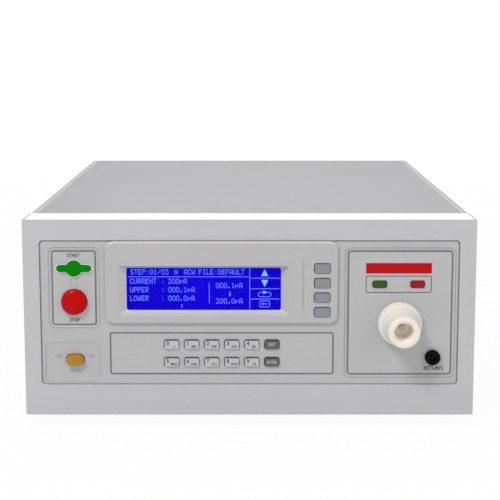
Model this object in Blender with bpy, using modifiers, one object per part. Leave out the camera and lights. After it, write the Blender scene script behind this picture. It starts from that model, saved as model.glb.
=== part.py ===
"""A hipot tester: a bench instrument that tests insulation with high voltage.

Every piece of the instrument is an object of its own, named for what it is. The front faces -Y,
+X is to the operator's right and +Z is up. The origin is on the bench, midway between the sides
and midway between the nose of the high-voltage terminal and the end of the ground post.
Lengths are metres; MM turns a figure in millimetres into metres.
"""

import math

import bmesh
import bpy
from mathutils import Matrix, Vector

MM = 0.001

# Clearances
GAP = 0.3 * MM
KEY_GAP = 0.35 * MM

# Housing
DEPTH = 400 * MM
FOOT_HEIGHT = 10 * MM
FOOT_EDGE = 1 * MM
TONGUE_CLEAR = 2 * MM
FRAME_SIDE = 13.3 * MM
FRAME_TOP = 17 * MM
FRAME_BOTTOM = 25 * MM
FRAME_DEPTH = 30 * MM
FRAME_WALL = 2 * MM
FRAME_LIP = 5 * MM
FRAME_LIP_THICKNESS = 3 * MM
FRAME_EDGE = 1.2 * MM
COVER_SHEET = 1.2 * MM
COVER_FOLD = 3 * MM
TRAY_SHEET = 1.5 * MM
TRAY_FLANGE = 14 * MM
TRAY_TUCK = 14 * MM
REAR_SHEET = 1.5 * MM
REAR_RECESS = 2 * MM

# Side vents
VENT_WIDTH = 3 * MM
VENT_HEIGHT = 44 * MM
VENT_PITCH = 9 * MM
VENT_COUNT = 12
VENT_FROM_REAR = 60 * MM
VENT_ABOVE_BASE = 60 * MM

# Feet
FOOT_RADIUS = 9 * MM
FOOT_TAPER = 1.5 * MM
FOOT_FROM_SIDE = 32 * MM
FOOT_FROM_FRONT = 62 * MM
FOOT_FROM_REAR = 50 * MM
FOOT_STEM_RADIUS = 3 * MM

# Front panel and the plates let into it
PANEL_THICKNESS = 3 * MM
PANEL_SET_BACK = 0.8 * MM
PANEL_CORNER = 3 * MM
PLATE_THICKNESS = 0.9 * MM
PLATE_CORNER = 2 * MM
PLATE_BEVEL = 2 * MM
PLATE_BEVEL_DEPTH = 0.5 * MM

# Keys, from the keypad and beside the screen
KEY_WIDTH = 11.6 * MM
KEY_HEIGHT = 7.4 * MM
KEY_PITCH_X = 16.06 * MM
KEY_PITCH_Z = 14.4 * MM
KEY_COLUMNS = 6
KEY_ROWS = 2
KEY_PROUD = 1.6 * MM
KEY_TRAVEL = 1 * MM
KEY_CORNER = 1 * MM
KEY_EDGE = 0.4 * MM
KEY_FLANGE = 1 * MM
KEY_FLANGE_THICKNESS = 1 * MM
KEY_STEM_RADIUS = 1.6 * MM
KEY_STEM_LENGTH = 2.4 * MM
SOFT_KEY_WIDTH = 12.7 * MM
SOFT_KEY_HEIGHT = 7.9 * MM
SOFT_KEY_PITCH = 11.8 * MM
SOFT_KEY_COUNT = 4
KEYPAD_END_ZONE = 43.5 * MM
KEYPAD_TOP_ZONE = 6.1 * MM
KEYPAD_BOTTOM_ZONE = 6.4 * MM

# Display bezel and screen
BEZEL_PROUD = 2.5 * MM
BEZEL_CORNER = 7 * MM
BEZEL_EDGE = 1.5 * MM
BEZEL_WALL = 1.5 * MM
GLASS_WIDTH = 123.5 * MM
GLASS_HEIGHT = 34.4 * MM
GLASS_FROM_LEFT = 16.8 * MM
GLASS_FROM_BOTTOM = 10.1 * MM
GLASS_TO_KEYS = 26.3 * MM
SLOPE_SIDE = 6.3 * MM
SLOPE_TOP = 1.9 * MM
SLOPE_BOTTOM = 4 * MM
SOFT_KEYS_FROM_RIGHT = 6.5 * MM
SOFT_KEYS_FROM_TOP = 17.6 * MM
SOFT_KEYS_FROM_BOTTOM = 5.9 * MM
WINDOW_THICKNESS = 1.5 * MM
WINDOW_RIM = 3 * MM
MODULE_RIM = 8 * MM
MODULE_DEPTH = 8 * MM

# Bosses behind the panel
BOSS_RADIUS = 2.2 * MM
BOSS_REACH = 5.5 * MM

# Start and stop buttons
START_RADIUS = 6.2 * MM
START_WING_SPAN = 27.6 * MM
START_WING_HEIGHT = 5 * MM
START_PROUD = 2.4 * MM
STOP_RADIUS = 10.3 * MM
STOP_PROUD = 6.5 * MM
STOP_DOME = 4 * MM
START_TO_STOP = 27.1 * MM
BUTTON_TRAVEL = 1.5 * MM
BUTTON_STEM_RADIUS = 3 * MM
BUTTON_STEM_LENGTH = 5 * MM
BUTTON_EDGE = 0.7 * MM
START_SIDE_ZONE = 3.75 * MM
START_TOP_ZONE = 8.2 * MM
STOP_BOTTOM_ZONE = 8.4 * MM

# Power button
POWER_WIDTH = 14.3 * MM
POWER_HEIGHT = 8.2 * MM
POWER_PROUD = 4.2 * MM
POWER_TRAVEL = 3 * MM
POWER_RISE = 20.7 * MM
POWER_FIELD_WIDTH = 43.4 * MM
POWER_FIELD_HEIGHT = 32.7 * MM
POWER_FIELD_RISE = 1.8 * MM
POWER_FIELD_DEPTH = 0.4 * MM
POWER_FIELD_LEFT = 3.3 * MM
POWER_BODY = 15 * MM
POWER_BODY_DEPTH = 22 * MM
YOKE_OFFSET = 3 * MM
YOKE_ARM = 3 * MM
YOKE_HEIGHT = 8 * MM
YOKE_LAP = 2 * MM

# Places of the plates on the panel
START_FROM_LEFT = 9.4 * MM
START_FROM_TOP = 8.2 * MM
START_TO_MIDDLE = 7.1 * MM
MIDDLE_TO_OUTPUT = 7.7 * MM
OUTPUT_FROM_RIGHT = 5.1 * MM
OUTPUT_FROM_TOP = 8.3 * MM
DISPLAY_FROM_TOP = 0.5 * MM
KEYPAD_TO_DISPLAY = 7.4 * MM
KEYPAD_FROM_BOTTOM = 8.5 * MM
OUTPUT_WIDTH = 83.2 * MM

# Output terminals and lamps
TERMINAL_REACH = 30 * MM
TERMINAL_BASE_RADIUS = 17.8 * MM
TERMINAL_NOSE_RADIUS = 12.6 * MM
TERMINAL_BORE_RADIUS = 7.7 * MM
TERMINAL_BORE_DEPTH = 18 * MM
TERMINAL_TAIL_RADIUS = 10 * MM
TERMINAL_TAIL_LENGTH = 16 * MM
TERMINAL_NUT_RADIUS = 15 * MM
TERMINAL_NUT_THICKNESS = 7 * MM
TERMINAL_RISE = 42 * MM
TERMINAL_LIP = 1.6 * MM
TERMINAL_BORE_TAPER = 0.6 * MM
TERMINAL_NECK = 12.6 * MM
TERMINAL_NECK_FLARE = 0.6 * MM
TERMINAL_SHOULDER = 21.6 * MM
TERMINAL_SHOULDER_RADIUS = 15.4 * MM
TERMINAL_RIM = 3.5 * MM
CONTACT_RADIUS = 2 * MM
CONTACT_PROUD = 2 * MM
CONTACT_SEAT = 6 * MM
RETURN_RADIUS = 6.2 * MM
RETURN_REACH = 3.5 * MM
RETURN_TAIL_RADIUS = 4.5 * MM
RETURN_TAIL_LENGTH = 18 * MM
RETURN_BORE_RADIUS = 3 * MM
RETURN_BORE_DEPTH = 14 * MM
RETURN_EDGE = 0.8 * MM
RETURN_CONTACT_BORE = 2 * MM
RETURN_CONTACT_SET_BACK = 8 * MM
RETURN_FROM_RIGHT = 14.9 * MM
RETURN_RISE = 14.2 * MM
LAMP_WIDTH = 11.4 * MM
LAMP_HEIGHT = 5.6 * MM
LAMP_BODY_DEPTH = 6 * MM
LAMP_EDGE = 0.4 * MM
LAMP_SPACING = 30.2 * MM
LAMP_AXIS = 40.4 * MM
LAMP_DROP = 27.1 * MM
LAMP_PROUD = 0.9 * MM

# Fan on the rear panel
FAN_SIZE = 80 * MM
FAN_DEPTH = 25 * MM
FAN_BORE_RADIUS = 38 * MM
FAN_CORNER = 5 * MM
FAN_HUB_RADIUS = 18 * MM
FAN_SHAFT_RADIUS = 2 * MM
FAN_BLADES = 7
FAN_BLADE_ROOT_ANGLE = math.radians(52)
FAN_BLADE_TIP_ANGLE = math.radians(28)
FAN_BLADE_THICKNESS = 1.4 * MM
FAN_TIP_GAP = 1 * MM
FAN_MOTOR_RADIUS = 17 * MM
FAN_STRUT_WIDTH = 4 * MM
FAN_STRUT_DEPTH = 3 * MM
FAN_FROM_RIGHT = 60 * MM
FAN_RISE = 80 * MM
FAN_SCREW_PITCH = 71.5 * MM
FAN_SCREW_HOLE = 2.2 * MM
FAN_MOTOR_LIP = 2 * MM
FAN_SHAFT_SHORT = 9 * MM
FAN_ROTOR_SHORT = 2 * MM
FAN_HUB_EDGE = 1 * MM
FAN_BLADE_ROOT = 1.5 * MM
FAN_BLADE_CLEAR = 3 * MM
GUARD_WIRE = 1.2 * MM
GUARD_RINGS = 4
GUARD_EYE_RADIUS = 5 * MM

# Sockets on the rear panel
INLET_WIDTH = 48 * MM
INLET_HEIGHT = 27 * MM
INLET_FLANGE = 2.5 * MM
INLET_BODY_WIDTH = 27 * MM
INLET_BODY_HEIGHT = 20 * MM
INLET_BODY_DEPTH = 26 * MM
INLET_CAVITY_WIDTH = 24 * MM
INLET_CAVITY_HEIGHT = 16.4 * MM
INLET_CAVITY_DEPTH = 17 * MM
INLET_PIN_LENGTH = 14 * MM
INLET_PIN_WIDTH = 2 * MM
INLET_PIN_HEIGHT = 4 * MM
INLET_PIN_SPREAD = 7 * MM
INLET_PIN_DROP = 1 * MM
INLET_EARTH_RISE = 3 * MM
INLET_RIM = 4 * MM
INLET_CORNER = 3 * MM
FUSE_WALL = 1.5 * MM
FUSE_DRAWER_RISE = 0.6 * MM
FUSE_DRAWER_PROUD = 0.8 * MM
FUSE_GRIP_WIDTH = 6 * MM
FUSE_GRIP_HEIGHT = 2 * MM
FUSE_GRIP_REACH = 2 * MM
INLET_FROM_LEFT = 62 * MM
INLET_RISE = 40 * MM
FUSE_WIDTH = 24 * MM
FUSE_HEIGHT = 8 * MM
FUSE_LENGTH = 24 * MM
TUBE_RADIUS = 2.6 * MM
TUBE_LENGTH = 20 * MM
PORT_SCREW_SPACE = 6 * MM
SERIAL_WIDTH = 19 * MM
REMOTE_WIDTH = 27.5 * MM
PORT_HEIGHT = 9 * MM
PORT_FLANGE_HEIGHT = 12.5 * MM
PORT_REACH = 5.8 * MM
PORT_LEAN = 1 * MM
PORT_SHEET = 0.8 * MM
PORT_CORNER = 1.5 * MM
PORT_TAIL = 8 * MM
PORT_RECESS = 1 * MM
JACK_RADIUS = 2.6 * MM
JACK_START = 0.4 * MM
JACK_REACH = 5 * MM
PORT_RISE = 112 * MM
SERIAL_FROM_LEFT = 55 * MM
PORT_SPACING = 50 * MM
POST_RADIUS = 3 * MM
POST_REACH = 22 * MM
POST_HEX = 5.5 * MM
POST_HEX_THICKNESS = 4 * MM
POST_TAIL = 6 * MM
POST_EDGE = 1 * MM
NUT_RIB_DEPTH = 0.7 * MM
POST_FROM_LEFT = 30 * MM
POST_RISE = 40 * MM
WASHER_RADIUS = 6.5 * MM
WASHER_THICKNESS = 1.2 * MM
NUT_RADIUS = 7.5 * MM
NUT_THICKNESS = 8 * MM
NUT_RIBS = 12

# Inside the housing
CORE_WIDTH = 96 * MM
CORE_HEIGHT = 80 * MM
CORE_STACK = 50 * MM
CORE_LIMB = 16 * MM
CORE_FROM_RIGHT = 24 * MM
CORE_FROM_FRONT = 105 * MM
COIL_OVERHANG = 16 * MM
HEAT_SINK_LENGTH = 120 * MM
HEAT_SINK_HEIGHT = 60 * MM
HEAT_SINK_BASE = 5 * MM
HEAT_SINK_FIN = 2 * MM
HEAT_SINK_FIN_REACH = 20 * MM
HEAT_SINK_FINS = 8
HEAT_SINK_FROM_LEFT = 26 * MM
HEAT_SINK_FROM_FRONT = 190 * MM
BOARD_THICKNESS = 1.6 * MM
CONTROL_BOARD_WIDTH = 120 * MM
CONTROL_BOARD_LENGTH = 110 * MM
CONTROL_BOARD_FROM_LEFT = 30 * MM
CONTROL_BOARD_FROM_FRONT = 60 * MM
AMPLIFIER_BOARD_HEIGHT = 55 * MM
STANDOFF_RADIUS = 3 * MM
STANDOFF_HEIGHT = 6 * MM
SWITCH_SIDE = 6 * MM
SWITCH_DEPTH = 3.5 * MM
SWITCH_PLUNGER = 1 * MM
BOARD_MARGIN = 2 * MM
BUTTON_BOARD_WIDTH = 18 * MM
BUTTON_BOARD_MARGIN = 8 * MM
TRANSISTOR_COUNT = 4
TRANSISTOR_PITCH = 24 * MM
TRANSISTOR_WIDTH = 15 * MM
TRANSISTOR_HEIGHT = 20 * MM
TRANSISTOR_THICKNESS = 5 * MM
TRANSISTOR_RISE = 20 * MM
TRANSISTOR_FROM_FRONT = 15 * MM
AMPLIFIER_BOARD_OFFSET = 4 * MM
AMPLIFIER_BOARD_LIFT = 2 * MM
BOARD_HOLE_INSET = 6 * MM
CHIP_SIDE = 22 * MM
MODULE_SIDE = 30 * MM
CHIP_HEIGHT = 3 * MM
CAPACITOR_SIDE = 14 * MM
CAPACITOR_HEIGHT = 12 * MM
LUG_WIDTH = 14 * MM
LUG_OVERLAP = 2 * MM
LUG_THICKNESS = 3 * MM
LUG_INSET = 8 * MM
COIL_CORNER = 5 * MM

# Worked out from the sizes above
START_WIDTH = START_WING_SPAN + 2 * START_SIDE_ZONE
START_HEIGHT = START_TOP_ZONE + START_RADIUS + START_TO_STOP + STOP_RADIUS + STOP_BOTTOM_ZONE
SOFT_KEYS_SPAN = (SOFT_KEY_COUNT - 1) * SOFT_KEY_PITCH + SOFT_KEY_HEIGHT
DISPLAY_WIDTH = GLASS_FROM_LEFT + GLASS_WIDTH + GLASS_TO_KEYS + SOFT_KEY_WIDTH + SOFT_KEYS_FROM_RIGHT
DISPLAY_HEIGHT = SOFT_KEYS_FROM_TOP + SOFT_KEYS_SPAN + SOFT_KEYS_FROM_BOTTOM
KEYPAD_WIDTH = 2 * KEYPAD_END_ZONE + (KEY_COLUMNS - 1) * KEY_PITCH_X + KEY_WIDTH
KEYPAD_HEIGHT = KEYPAD_BOTTOM_ZONE + (KEY_ROWS - 1) * KEY_PITCH_Z + KEY_HEIGHT + KEYPAD_TOP_ZONE
MIDDLE_WIDTH = max(DISPLAY_WIDTH, KEYPAD_WIDTH)
PANEL_WIDTH = (
    START_FROM_LEFT + START_WIDTH + START_TO_MIDDLE + MIDDLE_WIDTH
    + MIDDLE_TO_OUTPUT + OUTPUT_WIDTH + OUTPUT_FROM_RIGHT
)
PANEL_HEIGHT = (
    KEYPAD_FROM_BOTTOM + KEYPAD_HEIGHT + KEYPAD_TO_DISPLAY + DISPLAY_HEIGHT + DISPLAY_FROM_TOP
)
WIDTH = PANEL_WIDTH + 2 * FRAME_SIDE
HEIGHT = FRAME_BOTTOM + PANEL_HEIGHT + FRAME_TOP
OUTPUT_HEIGHT = PANEL_HEIGHT - 2 * OUTPUT_FROM_TOP

BASE = FOOT_HEIGHT
TOP = BASE + HEIGHT
LEFT = -WIDTH / 2
RIGHT = WIDTH / 2
PANEL_LEFT = -PANEL_WIDTH / 2
PANEL_RIGHT = PANEL_WIDTH / 2
PANEL_BOTTOM = BASE + FRAME_BOTTOM
PANEL_TOP = PANEL_BOTTOM + PANEL_HEIGHT
START_X = PANEL_LEFT + START_FROM_LEFT + START_WIDTH / 2
START_PLATE_TOP = PANEL_TOP - START_FROM_TOP
START_Z = START_PLATE_TOP - START_TOP_ZONE - START_RADIUS
STOP_Z = START_Z - START_TO_STOP
POWER_X = START_X
POWER_Z = PANEL_BOTTOM + POWER_RISE
MIDDLE_X = PANEL_LEFT + START_FROM_LEFT + START_WIDTH + START_TO_MIDDLE + MIDDLE_WIDTH / 2
DISPLAY_LEFT = MIDDLE_X - DISPLAY_WIDTH / 2
DISPLAY_TOP = PANEL_TOP - DISPLAY_FROM_TOP
DISPLAY_BOTTOM = DISPLAY_TOP - DISPLAY_HEIGHT
GLASS_X = DISPLAY_LEFT + GLASS_FROM_LEFT + GLASS_WIDTH / 2
GLASS_Z = DISPLAY_BOTTOM + GLASS_FROM_BOTTOM + GLASS_HEIGHT / 2
SOFT_KEY_X = DISPLAY_LEFT + DISPLAY_WIDTH - SOFT_KEYS_FROM_RIGHT - SOFT_KEY_WIDTH / 2
SOFT_KEY_TOP_Z = DISPLAY_TOP - SOFT_KEYS_FROM_TOP - SOFT_KEY_HEIGHT / 2
KEYPAD_BOTTOM = PANEL_BOTTOM + KEYPAD_FROM_BOTTOM
KEY_LEFT_X = MIDDLE_X - (KEY_COLUMNS - 1) * KEY_PITCH_X / 2
KEY_BOTTOM_Z = KEYPAD_BOTTOM + KEYPAD_BOTTOM_ZONE + KEY_HEIGHT / 2
OUTPUT_X = PANEL_RIGHT - OUTPUT_FROM_RIGHT - OUTPUT_WIDTH / 2
OUTPUT_BOTTOM = PANEL_BOTTOM + OUTPUT_FROM_TOP
OUTPUT_TOP = OUTPUT_BOTTOM + OUTPUT_HEIGHT
TERMINAL_Z = OUTPUT_BOTTOM + TERMINAL_RISE
RETURN_X = OUTPUT_X + OUTPUT_WIDTH / 2 - RETURN_FROM_RIGHT
RETURN_Z = OUTPUT_BOTTOM + RETURN_RISE
LAMP_X = OUTPUT_X - OUTPUT_WIDTH / 2 + LAMP_AXIS
LAMP_Z = OUTPUT_TOP - LAMP_DROP

# Depths behind the front face of the frame
PLATE_FRONT = PANEL_SET_BACK
PLATE_BACK = PLATE_FRONT + PLATE_THICKNESS
POCKET_FLOOR = PLATE_BACK + GAP
PANEL_BACK = PANEL_SET_BACK + PANEL_THICKNESS
KEY_FLANGE_FRONT = PANEL_BACK + GAP
KEY_FLANGE_BACK = KEY_FLANGE_FRONT + KEY_FLANGE_THICKNESS
KEY_SWITCH_FRONT = KEY_FLANGE_BACK + KEY_STEM_LENGTH + KEY_TRAVEL + GAP
KEY_BOARD_FRONT = KEY_SWITCH_FRONT + SWITCH_DEPTH
BUTTON_SWITCH_FRONT = KEY_FLANGE_BACK + BUTTON_STEM_LENGTH + BUTTON_TRAVEL + GAP
BUTTON_BOARD_FRONT = BUTTON_SWITCH_FRONT + SWITCH_DEPTH
BEZEL_FRONT = PANEL_SET_BACK - BEZEL_PROUD
BEZEL_BACK = PANEL_SET_BACK - GAP
SCREEN_SKIRT_BACK = PANEL_BACK + GAP
WINDOW_FRONT = SCREEN_SKIRT_BACK + GAP
WINDOW_BACK = WINDOW_FRONT + WINDOW_THICKNESS
MODULE_FRONT = WINDOW_BACK + GAP
REAR_FACE = DEPTH - REAR_RECESS
REAR_INSIDE = REAR_FACE - REAR_SHEET
POST_END = REAR_FACE + POST_REACH

# Where the front face of the frame lies, so that the origin is the middle of the whole object
FACE_Y = (TERMINAL_REACH - PLATE_FRONT - POST_END) / 2

FLOOR_Z = BASE + FRAME_WALL + GAP
FLOOR_TOP = FLOOR_Z + TRAY_SHEET
FAN_X = LEFT + FAN_FROM_RIGHT
FAN_Z = BASE + FAN_RISE
INLET_X = RIGHT - INLET_FROM_LEFT
INLET_Z = BASE + INLET_RISE
FUSE_Z = INLET_Z + INLET_BODY_HEIGHT / 2 + GAP + FUSE_HEIGHT / 2 + FUSE_DRAWER_RISE
SERIAL_X = RIGHT - SERIAL_FROM_LEFT
REMOTE_X = SERIAL_X - PORT_SPACING
PORT_Z = BASE + PORT_RISE
POST_X = RIGHT - POST_FROM_LEFT
POST_Z = BASE + POST_RISE
PIECES = bpy.data.collections.new("hipot_tester")
CUTTERS = bpy.data.collections.new("cutters")


def clear_scene():
    for obj in list(bpy.data.objects):
        bpy.data.objects.remove(obj, do_unlink=True)
    for collection in (PIECES, CUTTERS):
        bpy.context.scene.collection.children.link(collection)


def finish(name, color, roughness, metallic=0.0):
    """A Principled material in a linear colour."""
    material = bpy.data.materials.get(name) or bpy.data.materials.new(name)
    material.use_nodes = True
    shader = material.node_tree.nodes["Principled BSDF"]
    shader.inputs["Base Color"].default_value = (*color, 1.0)
    shader.inputs["Roughness"].default_value = roughness
    shader.inputs["Metallic"].default_value = metallic
    return material


def behind(depth):
    """World Y of a depth behind the frame's front face."""
    return FACE_Y + depth


def place(name, mesh, location=(0, 0, 0), material=None):
    """A piece of the instrument from a mesh."""
    obj = bpy.data.objects.new(name, mesh)
    obj.location = location
    PIECES.objects.link(obj)
    if material and not mesh.materials:
        mesh.materials.append(material)
    return obj


def as_cutter(obj):
    """Turn a piece into a wire guide that only cuts."""
    PIECES.objects.unlink(obj)
    CUTTERS.objects.link(obj)
    obj.hide_render = True
    obj.display_type = "WIRE"
    return obj


def mesh_of(bm, name):
    bmesh.ops.recalc_face_normals(bm, faces=bm.faces)
    mesh = bpy.data.meshes.new(name)
    bm.to_mesh(mesh)
    bm.free()
    return mesh


def box_mesh(name, size, center=(0, 0, 0)):
    bm = bmesh.new()
    bmesh.ops.create_cube(bm, size=1)
    bmesh.ops.scale(bm, vec=size, verts=bm.verts)
    bmesh.ops.translate(bm, vec=center, verts=bm.verts)
    return mesh_of(bm, name)


def box(name, low, high, material=None):
    """A block between two corners, its origin at its middle."""
    size = [b - a for a, b in zip(low, high)]
    middle = [(a + b) / 2 for a, b in zip(low, high)]
    return place(name, box_mesh(name, size), middle, material)


def rod(name, radius, front, back, x=0.0, z=0.0, segments=24, tip_radius=None, material=None):
    """A round bar along Y between two depths, with a taper when the front radius differs."""
    bm = bmesh.new()
    bmesh.ops.create_cone(
        bm, cap_ends=True, segments=segments, depth=back - front,
        radius1=tip_radius or radius, radius2=radius,
        matrix=Matrix.Rotation(math.radians(-90), 4, "X"),
    )
    mesh = mesh_of(bm, name)
    return place(name, mesh, (x, behind((front + back) / 2), z), material)


def rounded_rectangle(width, height, radius, x=0.0, z=0.0, steps=3):
    """Corner arcs joined by straight edges, anticlockwise."""
    points = []
    for corner in range(4):
        start = corner * math.pi / 2
        center_x = x + math.copysign(width / 2 - radius, math.cos(start + math.pi / 4))
        center_z = z + math.copysign(height / 2 - radius, math.sin(start + math.pi / 4))
        for step in range(steps + 1):
            angle = start + step * math.pi / 2 / steps
            points.append((center_x + radius * math.cos(angle), center_z + radius * math.sin(angle)))
    return points


def circle(radius, x=0.0, z=0.0, segments=24):
    turn = 2 * math.pi / segments
    return [(x + radius * math.cos(i * turn), z + radius * math.sin(i * turn)) for i in range(segments)]


def winged_outline(radius, span, wing, grow=0.0, steps=3):
    """A disc with a round-ended wing on each side, made larger all round by grow."""
    radius, half_span, half_wing = radius + grow, span / 2 + grow, wing / 2 + grow
    root = math.asin(half_wing / radius)
    tip_x = half_span - half_wing
    points = []
    for side in (0, math.pi):
        for step in range(steps + 1):
            angle = side - math.pi / 2 + step * math.pi / steps
            tip = math.copysign(tip_x, math.cos(side))
            points.append((tip + half_wing * math.cos(angle), half_wing * math.sin(angle)))
        for step in range(2 * steps + 1):
            angle = side + root + step * (math.pi - 2 * root) / (2 * steps)
            points.append((radius * math.cos(angle), radius * math.sin(angle)))
    return points


def plate_mesh(name, outlines, thickness):
    """Flat outlines side by side, as a filled 2D curve made a mesh. It stands in the XZ plane."""
    curve = bpy.data.curves.new(name, "CURVE")
    curve.dimensions = "2D"
    curve.fill_mode = "BOTH"
    curve.extrude = thickness / 2
    for outline in outlines:
        spline = curve.splines.new("POLY")
        spline.points.add(len(outline) - 1)
        for point, (x, z) in zip(spline.points, outline):
            point.co = (x, z, 0, 1)
        spline.use_cyclic_u = True
    guide = bpy.data.objects.new(name + "_curve", curve)
    PIECES.objects.link(guide)
    evaluated = guide.evaluated_get(bpy.context.evaluated_depsgraph_get())
    mesh = bpy.data.meshes.new_from_object(evaluated)
    bpy.data.objects.remove(guide, do_unlink=True)
    bpy.data.curves.remove(curve)
    bm = bmesh.new()
    bm.from_mesh(mesh)
    bpy.data.meshes.remove(mesh)
    bmesh.ops.remove_doubles(bm, verts=bm.verts, dist=1e-6)
    bmesh.ops.dissolve_limit(bm, angle_limit=1e-3, verts=bm.verts, edges=bm.edges)
    bmesh.ops.rotate(bm, matrix=Matrix.Rotation(math.pi / 2, 3, "X"), verts=bm.verts)
    return mesh_of(bm, name)


def plate(name, outlines, front, back, x=0.0, z=0.0, material=None):
    """A flat piece between two depths."""
    mesh = plate_mesh(name, outlines, back - front)
    return place(name, mesh, (x, behind((front + back) / 2), z), material)


def punched(name, outer, holes, front, back, x=0.0, z=0.0, material=None):
    """A flat sheet between two depths with its openings punched through it."""
    sheet = plate(name, [outer], front, back, x, z)
    cut(sheet, plate("punch", holes, front - GAP, back + GAP, x, z))
    return paint(sheet, material) if material else sheet


def loft(name, sections, material=None):
    """A solid through outlines with equal point counts, each at its own depth."""
    bm = bmesh.new()
    rings = [
        [bm.verts.new((x, behind(depth), z)) for x, z in outline] for depth, outline in sections
    ]
    for ring, following in zip(rings, rings[1:]):
        for i in range(len(ring)):
            j = (i + 1) % len(ring)
            bm.faces.new((ring[i], ring[j], following[j], following[i]))
    bm.faces.new(rings[0])
    bm.faces.new(rings[-1])
    return place(name, mesh_of(bm, name), material=material)


def turned(name, profile, segments=32, closed=False):
    """A profile of (depth, radius) points turned about the Y axis by a Screw modifier."""
    mesh = bpy.data.meshes.new(name)
    points = [(radius, 0.0, -depth) for depth, radius in profile]
    edges = [(i, i + 1) for i in range(len(points) - 1)]
    if closed:
        edges.append((len(points) - 1, 0))
    mesh.from_pydata(points, edges, [])
    obj = place(name, mesh)
    obj.rotation_euler = (math.radians(90), 0, 0)
    screw = obj.modifiers.new("turn", "SCREW")
    screw.steps = screw.render_steps = segments
    screw.use_merge_vertices = True
    screw.merge_threshold = 1e-5
    return obj


def apply_modifiers(obj):
    """The object's mesh as its modifiers leave it, with its origin where it was."""
    depsgraph = bpy.context.evaluated_depsgraph_get()
    mesh = bpy.data.meshes.new_from_object(obj.evaluated_get(depsgraph))
    old = obj.data
    obj.modifiers.clear()
    obj.data = mesh
    if old.users == 0:
        bpy.data.meshes.remove(old)
    return obj


def combine(obj, others, operation):
    """Join pieces to obj, or cut them out of it; the others are used up."""
    for other in others:
        modifier = obj.modifiers.new(operation.lower(), "BOOLEAN")
        modifier.operation = operation
        modifier.solver = "EXACT"
        modifier.object = other
    bpy.context.view_layer.update()
    apply_modifiers(obj)
    for other in others:
        bpy.data.objects.remove(other, do_unlink=True)
    return obj


def joined(obj, *others):
    return combine(obj, others, "UNION")


def cut(obj, *others):
    return combine(obj, [as_cutter(other) for other in others], "DIFFERENCE")


def soften(obj, width, segments=2, angle=35):
    """Rounded edges where faces meet at more than the angle."""
    bevel = obj.modifiers.new("edges", "BEVEL")
    bevel.width = width
    bevel.segments = segments
    bevel.limit_method = "ANGLE"
    bevel.angle_limit = math.radians(angle)
    return apply_modifiers(obj)


def shade(obj):
    obj.data.shade_smooth()
    obj.data.set_sharp_from_angle(angle=math.radians(35))


def paint(obj, material):
    obj.data.materials.clear()
    obj.data.materials.append(material)
    return obj


def make_front_frame(plastic):
    """The moulded surround: a face round the panel, a lip behind it and thin walls to the rear."""
    middle_z = (BASE + TOP) / 2
    panel_z = (PANEL_BOTTOM + PANEL_TOP) / 2 - middle_z
    pocket = rounded_rectangle(PANEL_WIDTH + 2 * GAP, PANEL_HEIGHT + 2 * GAP, PANEL_CORNER, z=panel_z)
    inner = rounded_rectangle(
        PANEL_WIDTH - 2 * FRAME_LIP, PANEL_HEIGHT - 2 * FRAME_LIP, PANEL_CORNER, z=panel_z
    )
    outer = rounded_rectangle(WIDTH, HEIGHT, FRAME_EDGE, steps=2)
    cavity = rounded_rectangle(WIDTH - 2 * FRAME_WALL, HEIGHT - 2 * FRAME_WALL, FRAME_EDGE / 2, steps=2)
    lip_front = PANEL_BACK + GAP
    lip_back = lip_front + FRAME_LIP_THICKNESS
    frame = plate("front_frame", [outer], 0, FRAME_DEPTH, z=middle_z)
    cut(
        frame,
        plate("opening", [inner], -GAP, FRAME_DEPTH + GAP, z=middle_z),
        plate("cavity", [cavity], lip_back, FRAME_DEPTH + GAP, z=middle_z),
        plate("pocket", [pocket], -GAP, lip_front, z=middle_z),
    )
    return paint(frame, plastic)


def plate_pocket(name, outline_size, x, z):
    """A cutter for a plate let into the panel: a sloped rim, then the pocket itself."""
    width, height = (side + 2 * GAP for side in outline_size)
    spread = PLATE_BEVEL * (1 + GAP / PLATE_BEVEL_DEPTH)
    rim = rounded_rectangle(
        width + 2 * spread, height + 2 * spread, PLATE_CORNER + spread, x, z
    )
    mouth = rounded_rectangle(width, height, PLATE_CORNER, x, z)
    return loft(name, [
        (PANEL_SET_BACK - GAP, rim),
        (PANEL_SET_BACK + PLATE_BEVEL_DEPTH, mouth),
        (POCKET_FLOOR, mouth),
    ])


def keypad_places():
    """Name, x and z of each keypad key, digits first along each row."""
    digits = KEY_COLUMNS - 1
    ends = ("enter_key", "exit_key")
    for row in range(KEY_ROWS):
        z = KEY_BOTTOM_Z + row * KEY_PITCH_Z
        for column in range(KEY_COLUMNS):
            x = KEY_LEFT_X + column * KEY_PITCH_X
            digit = (KEY_ROWS - 1 - row) * digits + column
            yield (f"key_{digit}" if column < digits else ends[row]), x, z


def soft_key_places():
    for i in range(SOFT_KEY_COUNT):
        yield f"soft_key_{i + 1}", SOFT_KEY_X, SOFT_KEY_TOP_Z - i * SOFT_KEY_PITCH


def lamp_places():
    yield "pass_lamp", LAMP_X - LAMP_SPACING / 2, LAMP_Z
    yield "fail_lamp", LAMP_X + LAMP_SPACING / 2, LAMP_Z


def key_hole(width, height, x, z):
    return rounded_rectangle(
        width + 2 * KEY_GAP, height + 2 * KEY_GAP, KEY_CORNER + KEY_GAP, x, z, steps=1
    )


def start_hole():
    """The winged opening, centred on the start button."""
    outline = winged_outline(START_RADIUS, START_WING_SPAN, START_WING_HEIGHT, KEY_GAP)
    return [(START_X + x, START_Z + z) for x, z in outline]


def stop_hole():
    return circle(STOP_RADIUS + KEY_GAP, START_X, STOP_Z)


def left_panel_holes():
    power = rounded_rectangle(
        POWER_WIDTH + 2 * KEY_GAP, POWER_HEIGHT + 2 * KEY_GAP, POWER_HEIGHT / 2, POWER_X, POWER_Z, steps=4
    )
    return [start_hole(), stop_hole(), power]


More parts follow.
